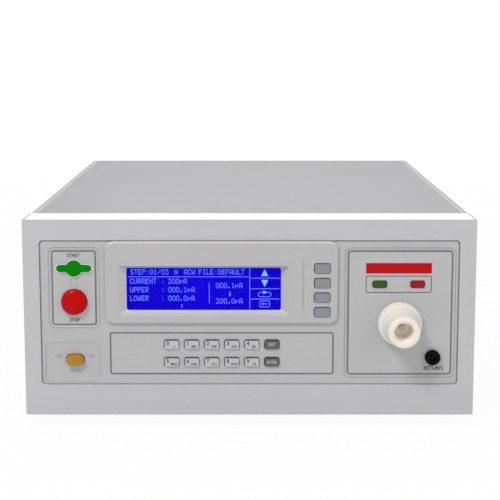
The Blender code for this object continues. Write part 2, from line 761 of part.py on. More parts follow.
def output_holes():
    holes = [
        circle(TERMINAL_TAIL_RADIUS + GAP, OUTPUT_X, TERMINAL_Z),
        circle(RETURN_TAIL_RADIUS + GAP, RETURN_X, RETURN_Z, 12),
    ]
    for _, x, z in lamp_places():
        holes.append(key_hole(LAMP_WIDTH, LAMP_HEIGHT, x, z))
    return holes


def screen_skirt(grow=0.0):
    """Outline of the bezel's skirt round the screen."""
    width = GLASS_WIDTH + 2 * (SLOPE_SIDE + BEZEL_WALL + grow)
    height = GLASS_HEIGHT + SLOPE_TOP + SLOPE_BOTTOM + 2 * (BEZEL_WALL + grow)
    z = GLASS_Z + (SLOPE_TOP - SLOPE_BOTTOM) / 2
    return rounded_rectangle(width, height, PLATE_CORNER, GLASS_X, z, steps=2)


def make_front_panel(plastic):
    """The moulded panel: pockets for its plates, openings for all that passes through it."""
    panel_z = (PANEL_BOTTOM + PANEL_TOP) / 2
    outer = rounded_rectangle(PANEL_WIDTH, PANEL_HEIGHT, PANEL_CORNER, 0, panel_z)
    holes = left_panel_holes() + output_holes() + [screen_skirt(GAP)]
    holes += [key_hole(KEY_WIDTH, KEY_HEIGHT, x, z) for _, x, z in keypad_places()]
    holes += [key_hole(SOFT_KEY_WIDTH, SOFT_KEY_HEIGHT, x, z) for _, x, z in soft_key_places()]
    panel = punched("front_panel", outer, holes, PANEL_SET_BACK, PANEL_BACK)
    start_z = START_PLATE_TOP - START_HEIGHT / 2
    output_z = (OUTPUT_BOTTOM + OUTPUT_TOP) / 2
    keypad_z = KEYPAD_BOTTOM + KEYPAD_HEIGHT / 2
    field = rounded_rectangle(
        POWER_FIELD_WIDTH, POWER_FIELD_HEIGHT, PANEL_CORNER,
        PANEL_LEFT + POWER_FIELD_LEFT + POWER_FIELD_WIDTH / 2,
        PANEL_BOTTOM + POWER_FIELD_RISE + POWER_FIELD_HEIGHT / 2,
    )
    keypad = rounded_rectangle(
        KEYPAD_WIDTH + 2 * GAP, KEYPAD_HEIGHT + 2 * GAP, PLATE_CORNER, MIDDLE_X, keypad_z
    )
    cut(
        panel,
        plate_pocket("start_pocket", (START_WIDTH, START_HEIGHT), START_X, start_z),
        plate_pocket("output_pocket", (OUTPUT_WIDTH, OUTPUT_HEIGHT), OUTPUT_X, output_z),
        plate("keypad_pocket", [keypad], PANEL_SET_BACK - GAP, POCKET_FLOOR),
        plate("power_field", [field], PANEL_SET_BACK - GAP, PANEL_SET_BACK + POWER_FIELD_DEPTH),
    )
    bosses = [
        rod("boss", BOSS_RADIUS, PANEL_BACK - GAP, board_front - GAP, x, z, 8)
        for x, z, board_front in boss_places()
    ]
    joined(panel, *bosses)
    return paint(panel, plastic)


def boss_places():
    """X, z and board depth of each boss that carries a board behind the panel."""
    row_z = KEY_BOTTOM_Z + KEY_PITCH_Z / 2
    for column in (0.5, KEY_COLUMNS - 1.5):
        yield KEY_LEFT_X + column * KEY_PITCH_X, row_z, KEY_BOARD_FRONT
    yield SOFT_KEY_X, SOFT_KEY_TOP_Z + SOFT_KEY_HEIGHT / 2 + BOSS_REACH, KEY_BOARD_FRONT
    between = (START_Z - START_RADIUS + STOP_Z + STOP_RADIUS) / 2
    for side in (-1, 1):
        yield START_X + side * BOSS_REACH, between, BUTTON_BOARD_FRONT


def make_plates(plastic):
    """The three printed plates in the panel's pockets."""
    start = rounded_rectangle(
        START_WIDTH, START_HEIGHT, PLATE_CORNER, START_X, START_PLATE_TOP - START_HEIGHT / 2
    )
    punched("start_stop_plate", start, [start_hole(), stop_hole()], PLATE_FRONT, PLATE_BACK, material=plastic)
    keypad = rounded_rectangle(
        KEYPAD_WIDTH, KEYPAD_HEIGHT, PLATE_CORNER, MIDDLE_X, KEYPAD_BOTTOM + KEYPAD_HEIGHT / 2
    )
    holes = [key_hole(KEY_WIDTH, KEY_HEIGHT, x, z) for _, x, z in keypad_places()]
    punched("keypad_plate", keypad, holes, PLATE_FRONT, PLATE_BACK, material=plastic)
    output = rounded_rectangle(
        OUTPUT_WIDTH, OUTPUT_HEIGHT, PLATE_CORNER, OUTPUT_X, (OUTPUT_BOTTOM + OUTPUT_TOP) / 2
    )
    punched("output_plate", output, output_holes(), PLATE_FRONT, PLATE_BACK, material=plastic)


def make_display_bezel(plastic):
    """The raised bezel: a funnel down to the screen, and openings for the soft keys."""
    z = DISPLAY_TOP - DISPLAY_HEIGHT / 2
    x = DISPLAY_LEFT + DISPLAY_WIDTH / 2

    def outline(inset):
        return rounded_rectangle(
            DISPLAY_WIDTH - 2 * inset, DISPLAY_HEIGHT - 2 * inset, BEZEL_CORNER - inset, x, z, steps=5
        )

    quarter = BEZEL_EDGE * (1 - math.sqrt(0.5))
    bezel = loft("display_bezel", [
        (BEZEL_FRONT, outline(BEZEL_EDGE)),
        (BEZEL_FRONT + quarter, outline(quarter)),
        (BEZEL_FRONT + BEZEL_EDGE, outline(0)),
        (BEZEL_BACK, outline(0)),
    ])
    joined(bezel, plate("skirt", [screen_skirt()], BEZEL_BACK - GAP, SCREEN_SKIRT_BACK))
    wide = rounded_rectangle(
        GLASS_WIDTH + 2 * SLOPE_SIDE, GLASS_HEIGHT + SLOPE_TOP + SLOPE_BOTTOM, KEY_CORNER,
        GLASS_X, GLASS_Z + (SLOPE_TOP - SLOPE_BOTTOM) / 2, steps=1,
    )
    narrow = rounded_rectangle(GLASS_WIDTH, GLASS_HEIGHT, KEY_CORNER, GLASS_X, GLASS_Z, steps=1)
    funnel = loft("funnel", [
        (BEZEL_FRONT - GAP, wide),
        (BEZEL_FRONT, wide),
        (SCREEN_SKIRT_BACK, narrow),
        (SCREEN_SKIRT_BACK + GAP, narrow),
    ])
    keys = [
        plate(f"{name}_hole", [key_hole(SOFT_KEY_WIDTH, SOFT_KEY_HEIGHT, x, z)],
              BEZEL_FRONT - GAP, BEZEL_BACK + GAP)
        for name, x, z in soft_key_places()
    ]
    cut(bezel, funnel, *keys)
    return paint(bezel, plastic)


def make_screen(clear, blue):
    """The clear window behind the bezel, and the display module behind the window."""
    window = rounded_rectangle(
        GLASS_WIDTH + 2 * WINDOW_RIM, GLASS_HEIGHT + 2 * WINDOW_RIM, KEY_CORNER, GLASS_X, GLASS_Z, steps=1
    )
    plate("display_window", [window], WINDOW_FRONT, WINDOW_BACK, material=clear)
    half_width, half_height = GLASS_WIDTH / 2 + MODULE_RIM, GLASS_HEIGHT / 2 + MODULE_RIM
    box(
        "lcd_module",
        (GLASS_X - half_width, behind(MODULE_FRONT), GLASS_Z - half_height),
        (GLASS_X + half_width, behind(MODULE_FRONT + MODULE_DEPTH), GLASS_Z + half_height),
        blue,
    )


def flanged_cap(name, outline, front, edge, x, z, stem_radius, stem_length):
    """A pushed cap: a rounded front edge, a flange that stops behind the panel, and a stem."""
    reach = KEY_GAP + KEY_FLANGE
    cap = loft(name, [
        (front, outline(-edge)),
        (front + edge, outline(0)),
        (KEY_FLANGE_FRONT, outline(0)),
        (KEY_FLANGE_FRONT, outline(reach)),
        (KEY_FLANGE_BACK, outline(reach)),
    ])
    cap.data.transform(Matrix.Translation((0, -behind(front), 0)))
    cap.location = (x, behind(front), z)
    stem = rod("stem", stem_radius, KEY_FLANGE_BACK - GAP, KEY_FLANGE_BACK + stem_length, x, z, 8)
    return joined(cap, stem)


def key_mesh(name, width, height, front):
    """A key's mesh, with its origin at the middle of the cap's face."""
    def outline(grow):
        return rounded_rectangle(width + 2 * grow, height + 2 * grow, KEY_CORNER + grow, steps=1)

    key = flanged_cap(name, outline, front, KEY_EDGE, 0, 0, KEY_STEM_RADIUS, KEY_STEM_LENGTH)
    mesh = key.data
    bpy.data.objects.remove(key, do_unlink=True)
    return mesh


def make_keys(light, dark, grey):
    """Twelve keypad keys and four soft keys; each object's origin is the middle of its cap."""
    front = PLATE_FRONT - KEY_PROUD
    keypad_mesh = key_mesh("keypad_key", KEY_WIDTH, KEY_HEIGHT, front)
    dark_mesh = keypad_mesh.copy()
    keypad_mesh.materials.clear()
    keypad_mesh.materials.append(light)
    dark_mesh.materials.clear()
    dark_mesh.materials.append(dark)
    for name, x, z in keypad_places():
        digit = name.startswith("key_")
        place(name, keypad_mesh if digit else dark_mesh, (x, behind(front), z))
    soft_front = BEZEL_FRONT - KEY_PROUD / 2
    soft_mesh = key_mesh("soft_key", SOFT_KEY_WIDTH, SOFT_KEY_HEIGHT, soft_front)
    soft_mesh.materials.clear()
    soft_mesh.materials.append(grey)
    for name, x, z in soft_key_places():
        place(name, soft_mesh, (x, behind(soft_front), z))


def make_start_button(green):
    """The green winged button with its flange and stem."""
    front = PLATE_FRONT - START_PROUD

    def outline(grow):
        return winged_outline(START_RADIUS, START_WING_SPAN, START_WING_HEIGHT, grow)

    button = flanged_cap("start_button", outline, front, BUTTON_EDGE, START_X, START_Z,
                         BUTTON_STEM_RADIUS, BUTTON_STEM_LENGTH)
    return paint(button, green)


def make_stop_button(red):
    """The red domed button, turned in one piece with its flange and stem."""
    front = PLATE_FRONT - STOP_PROUD
    steps = 5
    profile = [
        (front + STOP_DOME * (1 - math.cos(step * math.pi / 2 / steps)),
         STOP_RADIUS * math.sin(step * math.pi / 2 / steps))
        for step in range(steps + 1)
    ]
    flange_radius = STOP_RADIUS + KEY_GAP + KEY_FLANGE
    profile += [
        (KEY_FLANGE_FRONT, STOP_RADIUS),
        (KEY_FLANGE_FRONT, flange_radius),
        (KEY_FLANGE_BACK, flange_radius),
        (KEY_FLANGE_BACK, BUTTON_STEM_RADIUS),
        (KEY_FLANGE_BACK + BUTTON_STEM_LENGTH, BUTTON_STEM_RADIUS),
        (KEY_FLANGE_BACK + BUTTON_STEM_LENGTH, 0),
    ]
    button = turned("stop_button", profile, 20)
    button.location = (START_X, FACE_Y, STOP_Z)
    return paint(button, red)


def make_power(amber, black):
    """The oval push button and the mains switch behind the panel that it works."""
    front = PANEL_SET_BACK - POWER_PROUD

    def outline(grow):
        return rounded_rectangle(
            POWER_WIDTH + 2 * grow, POWER_HEIGHT + 2 * grow, POWER_HEIGHT / 2 + grow - 1e-5, steps=4
        )

    button = flanged_cap("power_button", outline, front, BUTTON_EDGE, POWER_X, POWER_Z,
                         BUTTON_STEM_RADIUS, BUTTON_STEM_LENGTH)
    paint(button, amber)
    body_front = KEY_FLANGE_BACK + POWER_TRAVEL + GAP
    half = POWER_BODY / 2
    body = box(
        "power_switch",
        (POWER_X - half, behind(body_front), POWER_Z - half),
        (POWER_X + half, behind(body_front + POWER_BODY_DEPTH), POWER_Z + half),
    )
    arm_x = POWER_WIDTH / 2 + YOKE_OFFSET
    yoke_front, yoke_back = body_front + YOKE_LAP, body_front + 2 * YOKE_LAP
    low_z, high_z = POWER_Z - YOKE_HEIGHT / 2, POWER_Z + YOKE_HEIGHT / 2
    arms = [
        box(
            "arm",
            (POWER_X + side * arm_x - YOKE_ARM / 2, behind(PANEL_BACK + GAP), low_z),
            (POWER_X + side * arm_x + YOKE_ARM / 2, behind(yoke_back), high_z),
        )
        for side in (-1, 1)
    ]
    yoke = box(
        "yoke",
        (POWER_X - arm_x - YOKE_LAP / 2, behind(yoke_front), low_z),
        (POWER_X + arm_x + YOKE_LAP / 2, behind(yoke_back), high_z),
    )
    joined(body, yoke, *arms)
    stem_room = KEY_FLANGE_BACK + BUTTON_STEM_LENGTH + POWER_TRAVEL + GAP
    cut(body, rod("room", BUTTON_STEM_RADIUS + GAP, body_front - GAP, stem_room, POWER_X, POWER_Z, 12))
    return paint(body, black)


def tact_switch(x, z, front, back):
    """A small switch with a round plunger, on the front of a board."""
    half = SWITCH_SIDE / 2
    body = box(
        "switch",
        (x - half, behind(front + SWITCH_PLUNGER), z - half),
        (x + half, behind(back), z + half),
    )
    plunger = rod("plunger", half * 0.6, front, front + SWITCH_PLUNGER + GAP, x, z, 6)
    return [body, plunger]


def make_boards(green):
    """The key board behind the keypad and soft keys, and the board behind start and stop."""
    half = SWITCH_SIDE / 2 + BOARD_MARGIN
    keypad_right = KEY_LEFT_X + (KEY_COLUMNS - 1) * KEY_PITCH_X
    soft_right = SOFT_KEY_X + half
    row_top = KEY_BOTTOM_Z + (KEY_ROWS - 1) * KEY_PITCH_Z + half
    column_top = SOFT_KEY_TOP_Z + SOFT_KEY_HEIGHT / 2 + BOSS_REACH + BOSS_RADIUS
    outline = [
        (KEY_LEFT_X - half, KEY_BOTTOM_Z - half),
        (max(soft_right, keypad_right + half), KEY_BOTTOM_Z - half),
        (max(soft_right, keypad_right + half), row_top),
        (soft_right, column_top),
        (SOFT_KEY_X - half, column_top),
        (SOFT_KEY_X - half, row_top),
        (KEY_LEFT_X - half, row_top),
    ]
    board = plate("key_board", [outline], KEY_BOARD_FRONT, KEY_BOARD_FRONT + BOARD_THICKNESS)
    switches = []
    for _, x, z in keypad_places():
        switches += tact_switch(x, z, KEY_SWITCH_FRONT, KEY_BOARD_FRONT + GAP)
    for _, x, z in soft_key_places():
        switches += tact_switch(x, z, KEY_SWITCH_FRONT, KEY_BOARD_FRONT + GAP)
    joined(board, *switches)
    paint(board, green)
    small = box(
        "start_stop_board",
        (START_X - BUTTON_BOARD_WIDTH / 2, behind(BUTTON_BOARD_FRONT), STOP_Z - BUTTON_BOARD_MARGIN),
        (START_X + BUTTON_BOARD_WIDTH / 2, behind(BUTTON_BOARD_FRONT + BOARD_THICKNESS),
         START_Z + BUTTON_BOARD_MARGIN),
    )
    pair = tact_switch(START_X, START_Z, BUTTON_SWITCH_FRONT, BUTTON_BOARD_FRONT + GAP)
    pair += tact_switch(START_X, STOP_Z, BUTTON_SWITCH_FRONT, BUTTON_BOARD_FRONT + GAP)
    joined(small, *pair)
    paint(small, green)


def make_terminal(ivory, brass):
    """The stepped insulating cone with its deep bore, its ring nut and the contact in the bore."""
    nose = PLATE_FRONT - TERMINAL_REACH
    seat = PLATE_FRONT - GAP
    bore_floor = nose + TERMINAL_BORE_DEPTH
    tail_end = PANEL_BACK + TERMINAL_TAIL_LENGTH
    lip = TERMINAL_LIP
    slope = (TERMINAL_BASE_RADIUS - TERMINAL_SHOULDER_RADIUS) / 2
    profile = [
        (bore_floor, 0),
        (bore_floor, TERMINAL_BORE_RADIUS - TERMINAL_BORE_TAPER),
        (nose + lip, TERMINAL_BORE_RADIUS),
        (nose + lip / 3, TERMINAL_BORE_RADIUS + lip / 3),
        (nose, TERMINAL_BORE_RADIUS + lip),
        (nose, TERMINAL_NOSE_RADIUS - lip),
        (nose + lip / 3, TERMINAL_NOSE_RADIUS - lip / 3),
        (nose + lip, TERMINAL_NOSE_RADIUS),
        (nose + TERMINAL_NECK, TERMINAL_NOSE_RADIUS + TERMINAL_NECK_FLARE),
        (nose + TERMINAL_SHOULDER, TERMINAL_SHOULDER_RADIUS),
        (nose + TERMINAL_SHOULDER + slope, TERMINAL_SHOULDER_RADIUS + slope),
        (seat - TERMINAL_RIM, TERMINAL_BASE_RADIUS),
        (seat, TERMINAL_BASE_RADIUS),
        (seat, TERMINAL_TAIL_RADIUS),
        (tail_end, TERMINAL_TAIL_RADIUS),
        (tail_end, 0),
    ]
    terminal = turned("hv_terminal", profile, 24)
    terminal.location = (OUTPUT_X, FACE_Y, TERMINAL_Z)
    socket_end = bore_floor + CONTACT_SEAT
    cut(terminal, rod("socket", CONTACT_RADIUS + GAP, bore_floor - GAP, socket_end,
                      OUTPUT_X, TERMINAL_Z, 16))
    paint(terminal, ivory)
    contact = rod("hv_contact", CONTACT_RADIUS, bore_floor - CONTACT_PROUD, socket_end - GAP,
                  OUTPUT_X, TERMINAL_Z, 16)
    paint(contact, brass)
    nut_front = PANEL_BACK + GAP
    nut = punched(
        "hv_terminal_nut", circle(TERMINAL_NUT_RADIUS, segments=6), [circle(TERMINAL_TAIL_RADIUS + GAP)],
        nut_front, nut_front + TERMINAL_NUT_THICKNESS, OUTPUT_X, TERMINAL_Z,
    )
    paint(nut, ivory)


def make_return(black, brass):
    """The black return socket and the brass sleeve inside it."""
    nose = PLATE_FRONT - RETURN_REACH
    seat = PLATE_FRONT - GAP
    bore_floor = nose + RETURN_BORE_DEPTH
    tail_end = PANEL_BACK + RETURN_TAIL_LENGTH
    edge = RETURN_EDGE
    profile = [
        (bore_floor, 0),
        (bore_floor, RETURN_BORE_RADIUS),
        (nose, RETURN_BORE_RADIUS),
        (nose, RETURN_RADIUS - edge),
        (nose + edge, RETURN_RADIUS),
        (seat, RETURN_RADIUS),
        (seat, RETURN_TAIL_RADIUS),
        (tail_end, RETURN_TAIL_RADIUS),
        (tail_end, 0),
    ]
    socket = turned("return_socket", profile, 16)
    socket.location = (RETURN_X, FACE_Y, RETURN_Z)
    paint(socket, black)
    sleeve = punched(
        "return_contact",
        circle(RETURN_BORE_RADIUS - GAP, segments=16), [circle(RETURN_CONTACT_BORE, segments=16)],
        nose + RETURN_CONTACT_SET_BACK, bore_floor - GAP, RETURN_X, RETURN_Z,
    )
    paint(sleeve, brass)


def make_lamps(green, red):
    """Two rectangular lenses, each with a flange behind the panel."""
    for (name, x, z), material in zip(lamp_places(), (green, red)):
        lens = plate(name, [rounded_rectangle(LAMP_WIDTH, LAMP_HEIGHT, KEY_CORNER, steps=1)],
                     PLATE_FRONT - LAMP_PROUD, KEY_FLANGE_FRONT + GAP, x, z)
        soften(lens, LAMP_EDGE, 1)
        flange = plate(
            "flange",
            [rounded_rectangle(LAMP_WIDTH + 2 * KEY_FLANGE + 2 * KEY_GAP,
                               LAMP_HEIGHT + 2 * KEY_FLANGE + 2 * KEY_GAP, KEY_CORNER, steps=1)],
            KEY_FLANGE_FRONT, KEY_FLANGE_FRONT + LAMP_BODY_DEPTH, x, z,
        )
        paint(joined(lens, flange), material)


def make_top_cover(painted):
    """The folded sheet over the top and both sides, with a row of vent slots low on each side."""
    outer = [(LEFT, BASE)]
    steps = 3
    for side, start in ((LEFT + COVER_FOLD, math.pi), (RIGHT - COVER_FOLD, math.pi / 2)):
        for step in range(steps + 1):
            angle = start - step * math.pi / 2 / steps
            outer.append((side + COVER_FOLD * math.cos(angle),
                          TOP - COVER_FOLD + COVER_FOLD * math.sin(angle)))
    outer.append((RIGHT, BASE))
    inner_fold = COVER_FOLD - COVER_SHEET
    inner = [(RIGHT - COVER_SHEET, BASE)]
    for side, start in ((RIGHT - COVER_FOLD, 0), (LEFT + COVER_FOLD, math.pi / 2)):
        for step in range(steps + 1):
            angle = start + step * math.pi / 2 / steps
            inner.append((side + inner_fold * math.cos(angle),
                          TOP - COVER_FOLD + inner_fold * math.sin(angle)))
    inner.append((LEFT + COVER_SHEET, BASE))
    cover = plate("top_cover", [outer + inner], FRAME_DEPTH + GAP, DEPTH)
    slots = []
    for i in range(VENT_COUNT):
        depth = DEPTH - VENT_FROM_REAR - i * VENT_PITCH
        z = BASE + VENT_ABOVE_BASE
        slots.append(box(
            "slot",
            (LEFT - GAP, behind(depth - VENT_WIDTH), z),
            (RIGHT + GAP, behind(depth), z + VENT_HEIGHT),
        ))
    cut(cover, *slots)
    return paint(cover, painted)


def make_base_tray(steel):
    """The bottom sheet with a flange up each side and standoffs for the control board."""
    inner_right = RIGHT - COVER_SHEET - GAP
    outline = [
        (-inner_right, FLOOR_Z), (inner_right, FLOOR_Z), (inner_right, FLOOR_Z + TRAY_FLANGE),
        (inner_right - TRAY_SHEET, FLOOR_Z + TRAY_FLANGE), (inner_right - TRAY_SHEET, FLOOR_TOP),
        (TRAY_SHEET - inner_right, FLOOR_TOP), (TRAY_SHEET - inner_right, FLOOR_Z + TRAY_FLANGE),
        (-inner_right, FLOOR_Z + TRAY_FLANGE),
    ]
    tray = plate("base_tray", [outline], FRAME_DEPTH + GAP, REAR_INSIDE - GAP)
    tongue_half = inner_right - 2 * TRAY_SHEET
    tongue = box(
        "tongue",
        (-tongue_half, behind(FRAME_DEPTH - TRAY_TUCK), FLOOR_Z),
        (tongue_half, behind(FRAME_DEPTH + TONGUE_CLEAR), FLOOR_TOP),
    )
    posts = []
    for x, depth in control_board_corners():
        post = rod("post", STANDOFF_RADIUS, 0, STANDOFF_HEIGHT + TRAY_SHEET / 2, segments=8)
        post.rotation_euler = (math.radians(-90), 0, 0)
        post.location = (x, behind(depth), FLOOR_TOP - TRAY_SHEET / 2 + (STANDOFF_HEIGHT + TRAY_SHEET / 2) / 2)
        posts.append(post)
    joined(tray, tongue, *posts)
    holes = []
    for _, x, depth in foot_places():
        hole = rod("hole", FOOT_STEM_RADIUS + GAP, 0, 4 * TRAY_SHEET, segments=12)
        hole.rotation_euler = (math.radians(-90), 0, 0)
        hole.location = (x, behind(depth), FLOOR_Z + TRAY_SHEET / 2)
        holes.append(hole)
    cut(tray, *holes)
    return paint(tray, steel)


def control_board_corners():
    """The standoffs' places, a little inside the control board's corners."""
    left = LEFT + CONTROL_BOARD_FROM_LEFT
    for x in (left + BOARD_HOLE_INSET, left + CONTROL_BOARD_WIDTH - BOARD_HOLE_INSET):
        for depth in (BOARD_HOLE_INSET, CONTROL_BOARD_LENGTH - BOARD_HOLE_INSET):
            yield x, CONTROL_BOARD_FROM_FRONT + depth


def foot_places():
    for row, depth in (("front", FOOT_FROM_FRONT), ("rear", DEPTH - FOOT_FROM_REAR)):
        for side, x in (("left", LEFT + FOOT_FROM_SIDE), ("right", RIGHT - FOOT_FROM_SIDE)):
            yield f"{row}_{side}_foot", x, depth


def make_feet(rubber):
    """Four rubber feet, each pushed into the tray by a stem."""
    head = FLOOR_Z - GAP
    profile = [
        (FLOOR_TOP + GAP, 0),
        (FLOOR_TOP + GAP, FOOT_STEM_RADIUS),
        (head, FOOT_STEM_RADIUS),
        (head, FOOT_RADIUS),
        (FOOT_EDGE, FOOT_RADIUS - FOOT_TAPER),
        (0, FOOT_RADIUS - FOOT_TAPER - FOOT_EDGE),
        (0, 0),
    ]
    for name, x, depth in foot_places():
        foot = turned(name, profile[::-1], 12)
        foot.rotation_euler = (math.pi, 0, 0)
        foot.location = (x, behind(depth), 0)
        paint(foot, rubber)


def rear_outline():
    half = RIGHT - COVER_SHEET - GAP
    bottom = BASE + GAP
    top = TOP - COVER_SHEET - GAP
    inner_fold = COVER_FOLD - COVER_SHEET
    points = [(-half, bottom), (half, bottom)]
    for side, start in ((half - inner_fold, 0), (inner_fold - half, math.pi / 2)):
        for step in range(4):
            angle = start + step * math.pi / 6
            points.append((side + inner_fold * math.cos(angle),
                           top - inner_fold + inner_fold * math.sin(angle)))
    return points


def make_rear_panel(steel):
    """The flat rear panel with an opening for each thing that it carries."""
    holes = [
        circle(FAN_BORE_RADIUS, FAN_X, FAN_Z, 32),
        rectangle(INLET_BODY_WIDTH + 2 * GAP, INLET_BODY_HEIGHT + 2 * GAP, INLET_X, INLET_Z),
        rectangle(FUSE_WIDTH + 2 * KEY_GAP, FUSE_HEIGHT + 2 * KEY_GAP, INLET_X, FUSE_Z),
        rectangle(SERIAL_WIDTH + 2 * GAP, PORT_HEIGHT + 2 * GAP, SERIAL_X, PORT_Z),
        rectangle(REMOTE_WIDTH + 2 * GAP, PORT_HEIGHT + 2 * GAP, REMOTE_X, PORT_Z),
        circle(POST_RADIUS + GAP, POST_X, POST_Z, 16),
    ]
    return punched("rear_panel", rear_outline(), holes, REAR_INSIDE, REAR_FACE, material=steel)


def rectangle(width, height, x, z):
    half_width, half_height = width / 2, height / 2
    return [
        (x - half_width, z - half_height), (x + half_width, z - half_height),
        (x + half_width, z + half_height), (x - half_width, z + half_height),
    ]


def make_fan(black, wire):
    """The fan's square frame with its motor on four struts, the bladed rotor and the wire guard."""
    back = REAR_INSIDE - GAP
    front = back - FAN_DEPTH
    outer = rounded_rectangle(FAN_SIZE, FAN_SIZE, FAN_CORNER, steps=2)
    screws = [
        circle(FAN_SCREW_HOLE, sx * FAN_SCREW_PITCH / 2, sz * FAN_SCREW_PITCH / 2, 8)
        for sx in (-1, 1) for sz in (-1, 1)
    ]
    frame = punched("fan_frame", outer, [circle(FAN_BORE_RADIUS, segments=32)] + screws,
                    front, back, FAN_X, FAN_Z)
    motor_back = front + FAN_STRUT_DEPTH + FAN_MOTOR_LIP
    motor = rod("motor", FAN_MOTOR_RADIUS, front, motor_back, FAN_X, FAN_Z, 24)
    reach = FAN_BORE_RADIUS + FAN_TIP_GAP
    struts = []
    for turn in (0, 1):
        strut = box("strut", (-reach, -FAN_STRUT_DEPTH / 2, -FAN_STRUT_WIDTH / 2),
                    (reach, FAN_STRUT_DEPTH / 2, FAN_STRUT_WIDTH / 2))
        strut.rotation_euler = (0, math.pi / 4 + turn * math.pi / 2, 0)
        strut.location = (FAN_X, behind(front + FAN_STRUT_DEPTH / 2), FAN_Z)
        struts.append(strut)
    shaft_end = back - FAN_SHAFT_SHORT
    shaft = rod("shaft", FAN_SHAFT_RADIUS, front + FAN_STRUT_DEPTH / 2, shaft_end, FAN_X, FAN_Z, 12)
    joined(frame, motor, *struts, shaft)
    paint(frame, black)
    make_fan_rotor(motor_back + GAP, back - FAN_ROTOR_SHORT, shaft_end, black)
    make_fan_guard(wire)


def blade_sections(front, back):
    """Outlines of one blade from root to tip, each a thin curved slice turned to its own pitch."""
    middle = (front + back) / 2
    sections = []
    tip_radius = FAN_BORE_RADIUS - FAN_TIP_GAP
    root_radius = FAN_HUB_RADIUS - FAN_BLADE_ROOT
    depth_room = (back - front) - FAN_BLADE_CLEAR
    for share in (0.0, 0.5, 1.0):
        radius = root_radius + share * (tip_radius - root_radius)
        angle = FAN_BLADE_ROOT_ANGLE + share * (FAN_BLADE_TIP_ANGLE - FAN_BLADE_ROOT_ANGLE)
        chord = min(depth_room / math.sin(angle), 0.62 * 2 * math.pi * radius / FAN_BLADES / math.cos(angle))
        top, bottom = [], []
        for step in range(4):
            along = (step / 3 - 0.5) * chord
            camber = 0.09 * chord * (1 - (2 * step / 3 - 1) ** 2)
            for side, ring in ((0.5, top), (-0.5, bottom)):
                off = camber + side * FAN_BLADE_THICKNESS
                tangential = along * math.cos(angle) - off * math.sin(angle)
                axial = along * math.sin(angle) + off * math.cos(angle)
                swing = tangential / radius
                ring.append(Vector((radius * math.sin(swing), middle + axial, radius * math.cos(swing))))
        sections.append(top + bottom[::-1])
    return sections


def make_fan_rotor(front, back, shaft_end, black):
    """Hub and blades; the object's origin lies on the shaft."""
    bore = FAN_SHAFT_RADIUS + GAP
    profile = [
        (shaft_end + GAP, 0),
        (shaft_end + GAP, bore),
        (front, bore),
        (front, FAN_HUB_RADIUS),
        (back - FAN_HUB_EDGE, FAN_HUB_RADIUS),
        (back, FAN_HUB_RADIUS - FAN_HUB_EDGE),
        (back, 0),
    ]
    hub = turned("fan_rotor", profile, 24)
    hub.location = (FAN_X, FACE_Y, FAN_Z)
    bm = bmesh.new()
    sections = blade_sections(front, back)
    for blade in range(FAN_BLADES):
        turn = Matrix.Rotation(blade * 2 * math.pi / FAN_BLADES, 3, "Y")
        rings = [[bm.verts.new(turn @ point) for point in section] for section in sections]
        for ring, following in zip(rings, rings[1:]):
            for i in range(len(ring)):
                j = (i + 1) % len(ring)
                bm.faces.new((ring[i], ring[j], following[j], following[i]))
        bm.faces.new(rings[0])
        bm.faces.new(rings[-1])
    blades = place("blades", mesh_of(bm, "blades"), (FAN_X, FACE_Y, FAN_Z))
    return paint(joined(hub, blades), black)


def make_fan_guard(wire):
    """Concentric wire rings on two crossed spokes that end in screw eyes."""
    seat = REAR_FACE + GAP
    spoke_y = seat + GUARD_WIRE
    ring_y = spoke_y + 1.2 * GUARD_WIRE
    reach = FAN_SCREW_PITCH / 2 * math.sqrt(2)
    spokes = []
    for turn in (0, 1):
        spoke = box("spoke", (-reach, -GUARD_WIRE, -GUARD_WIRE), (reach, GUARD_WIRE, GUARD_WIRE))
        spoke.rotation_euler = (0, math.pi / 4 + turn * math.pi / 2, 0)
        spoke.location = (FAN_X, behind(spoke_y + turn * GUARD_WIRE / 4), FAN_Z)
        spokes.append(spoke)
    rings = []
    for i in range(GUARD_RINGS):
        radius = (FAN_BORE_RADIUS - FAN_TIP_GAP) * (i + 1) / GUARD_RINGS
        rings.append(torus("ring", radius, GUARD_WIRE, ring_y, FAN_X, FAN_Z, 20 if i > 1 else 12))
    eyes = []
    for sx in (-1, 1):
        for sz in (-1, 1):
            eyes.append(plate(
                "eye", [circle(GUARD_EYE_RADIUS, segments=12)],
                seat + GUARD_WIRE / 3, seat + 1.5 * GUARD_WIRE,
                FAN_X + sx * FAN_SCREW_PITCH / 2, FAN_Z + sz * FAN_SCREW_PITCH / 2,
            ))
    guard = spokes[0]
    guard.name = "fan_guard"
    holes = [
        rod("screw_hole", FAN_SCREW_HOLE, seat - GAP, seat + 3 * GUARD_WIRE,
            FAN_X + sx * FAN_SCREW_PITCH / 2, FAN_Z + sz * FAN_SCREW_PITCH / 2, 8)
        for sx in (-1, 1) for sz in (-1, 1)
    ]
    joined(guard, spokes[1], *rings, *eyes)
    cut(guard, *holes)
    return paint(guard, wire)


def torus(name, radius, tube, depth, x, z, segments):
    """A ring of round wire, turned from a circle beside the axis."""
    steps = 5
    profile = [
        (depth - tube * math.cos(i * 2 * math.pi / steps), radius + tube * math.sin(i * 2 * math.pi / steps))
        for i in range(steps)
    ]
    ring = turned(name, profile, segments, closed=True)
    ring.location = (x, FACE_Y, z)
    return ring


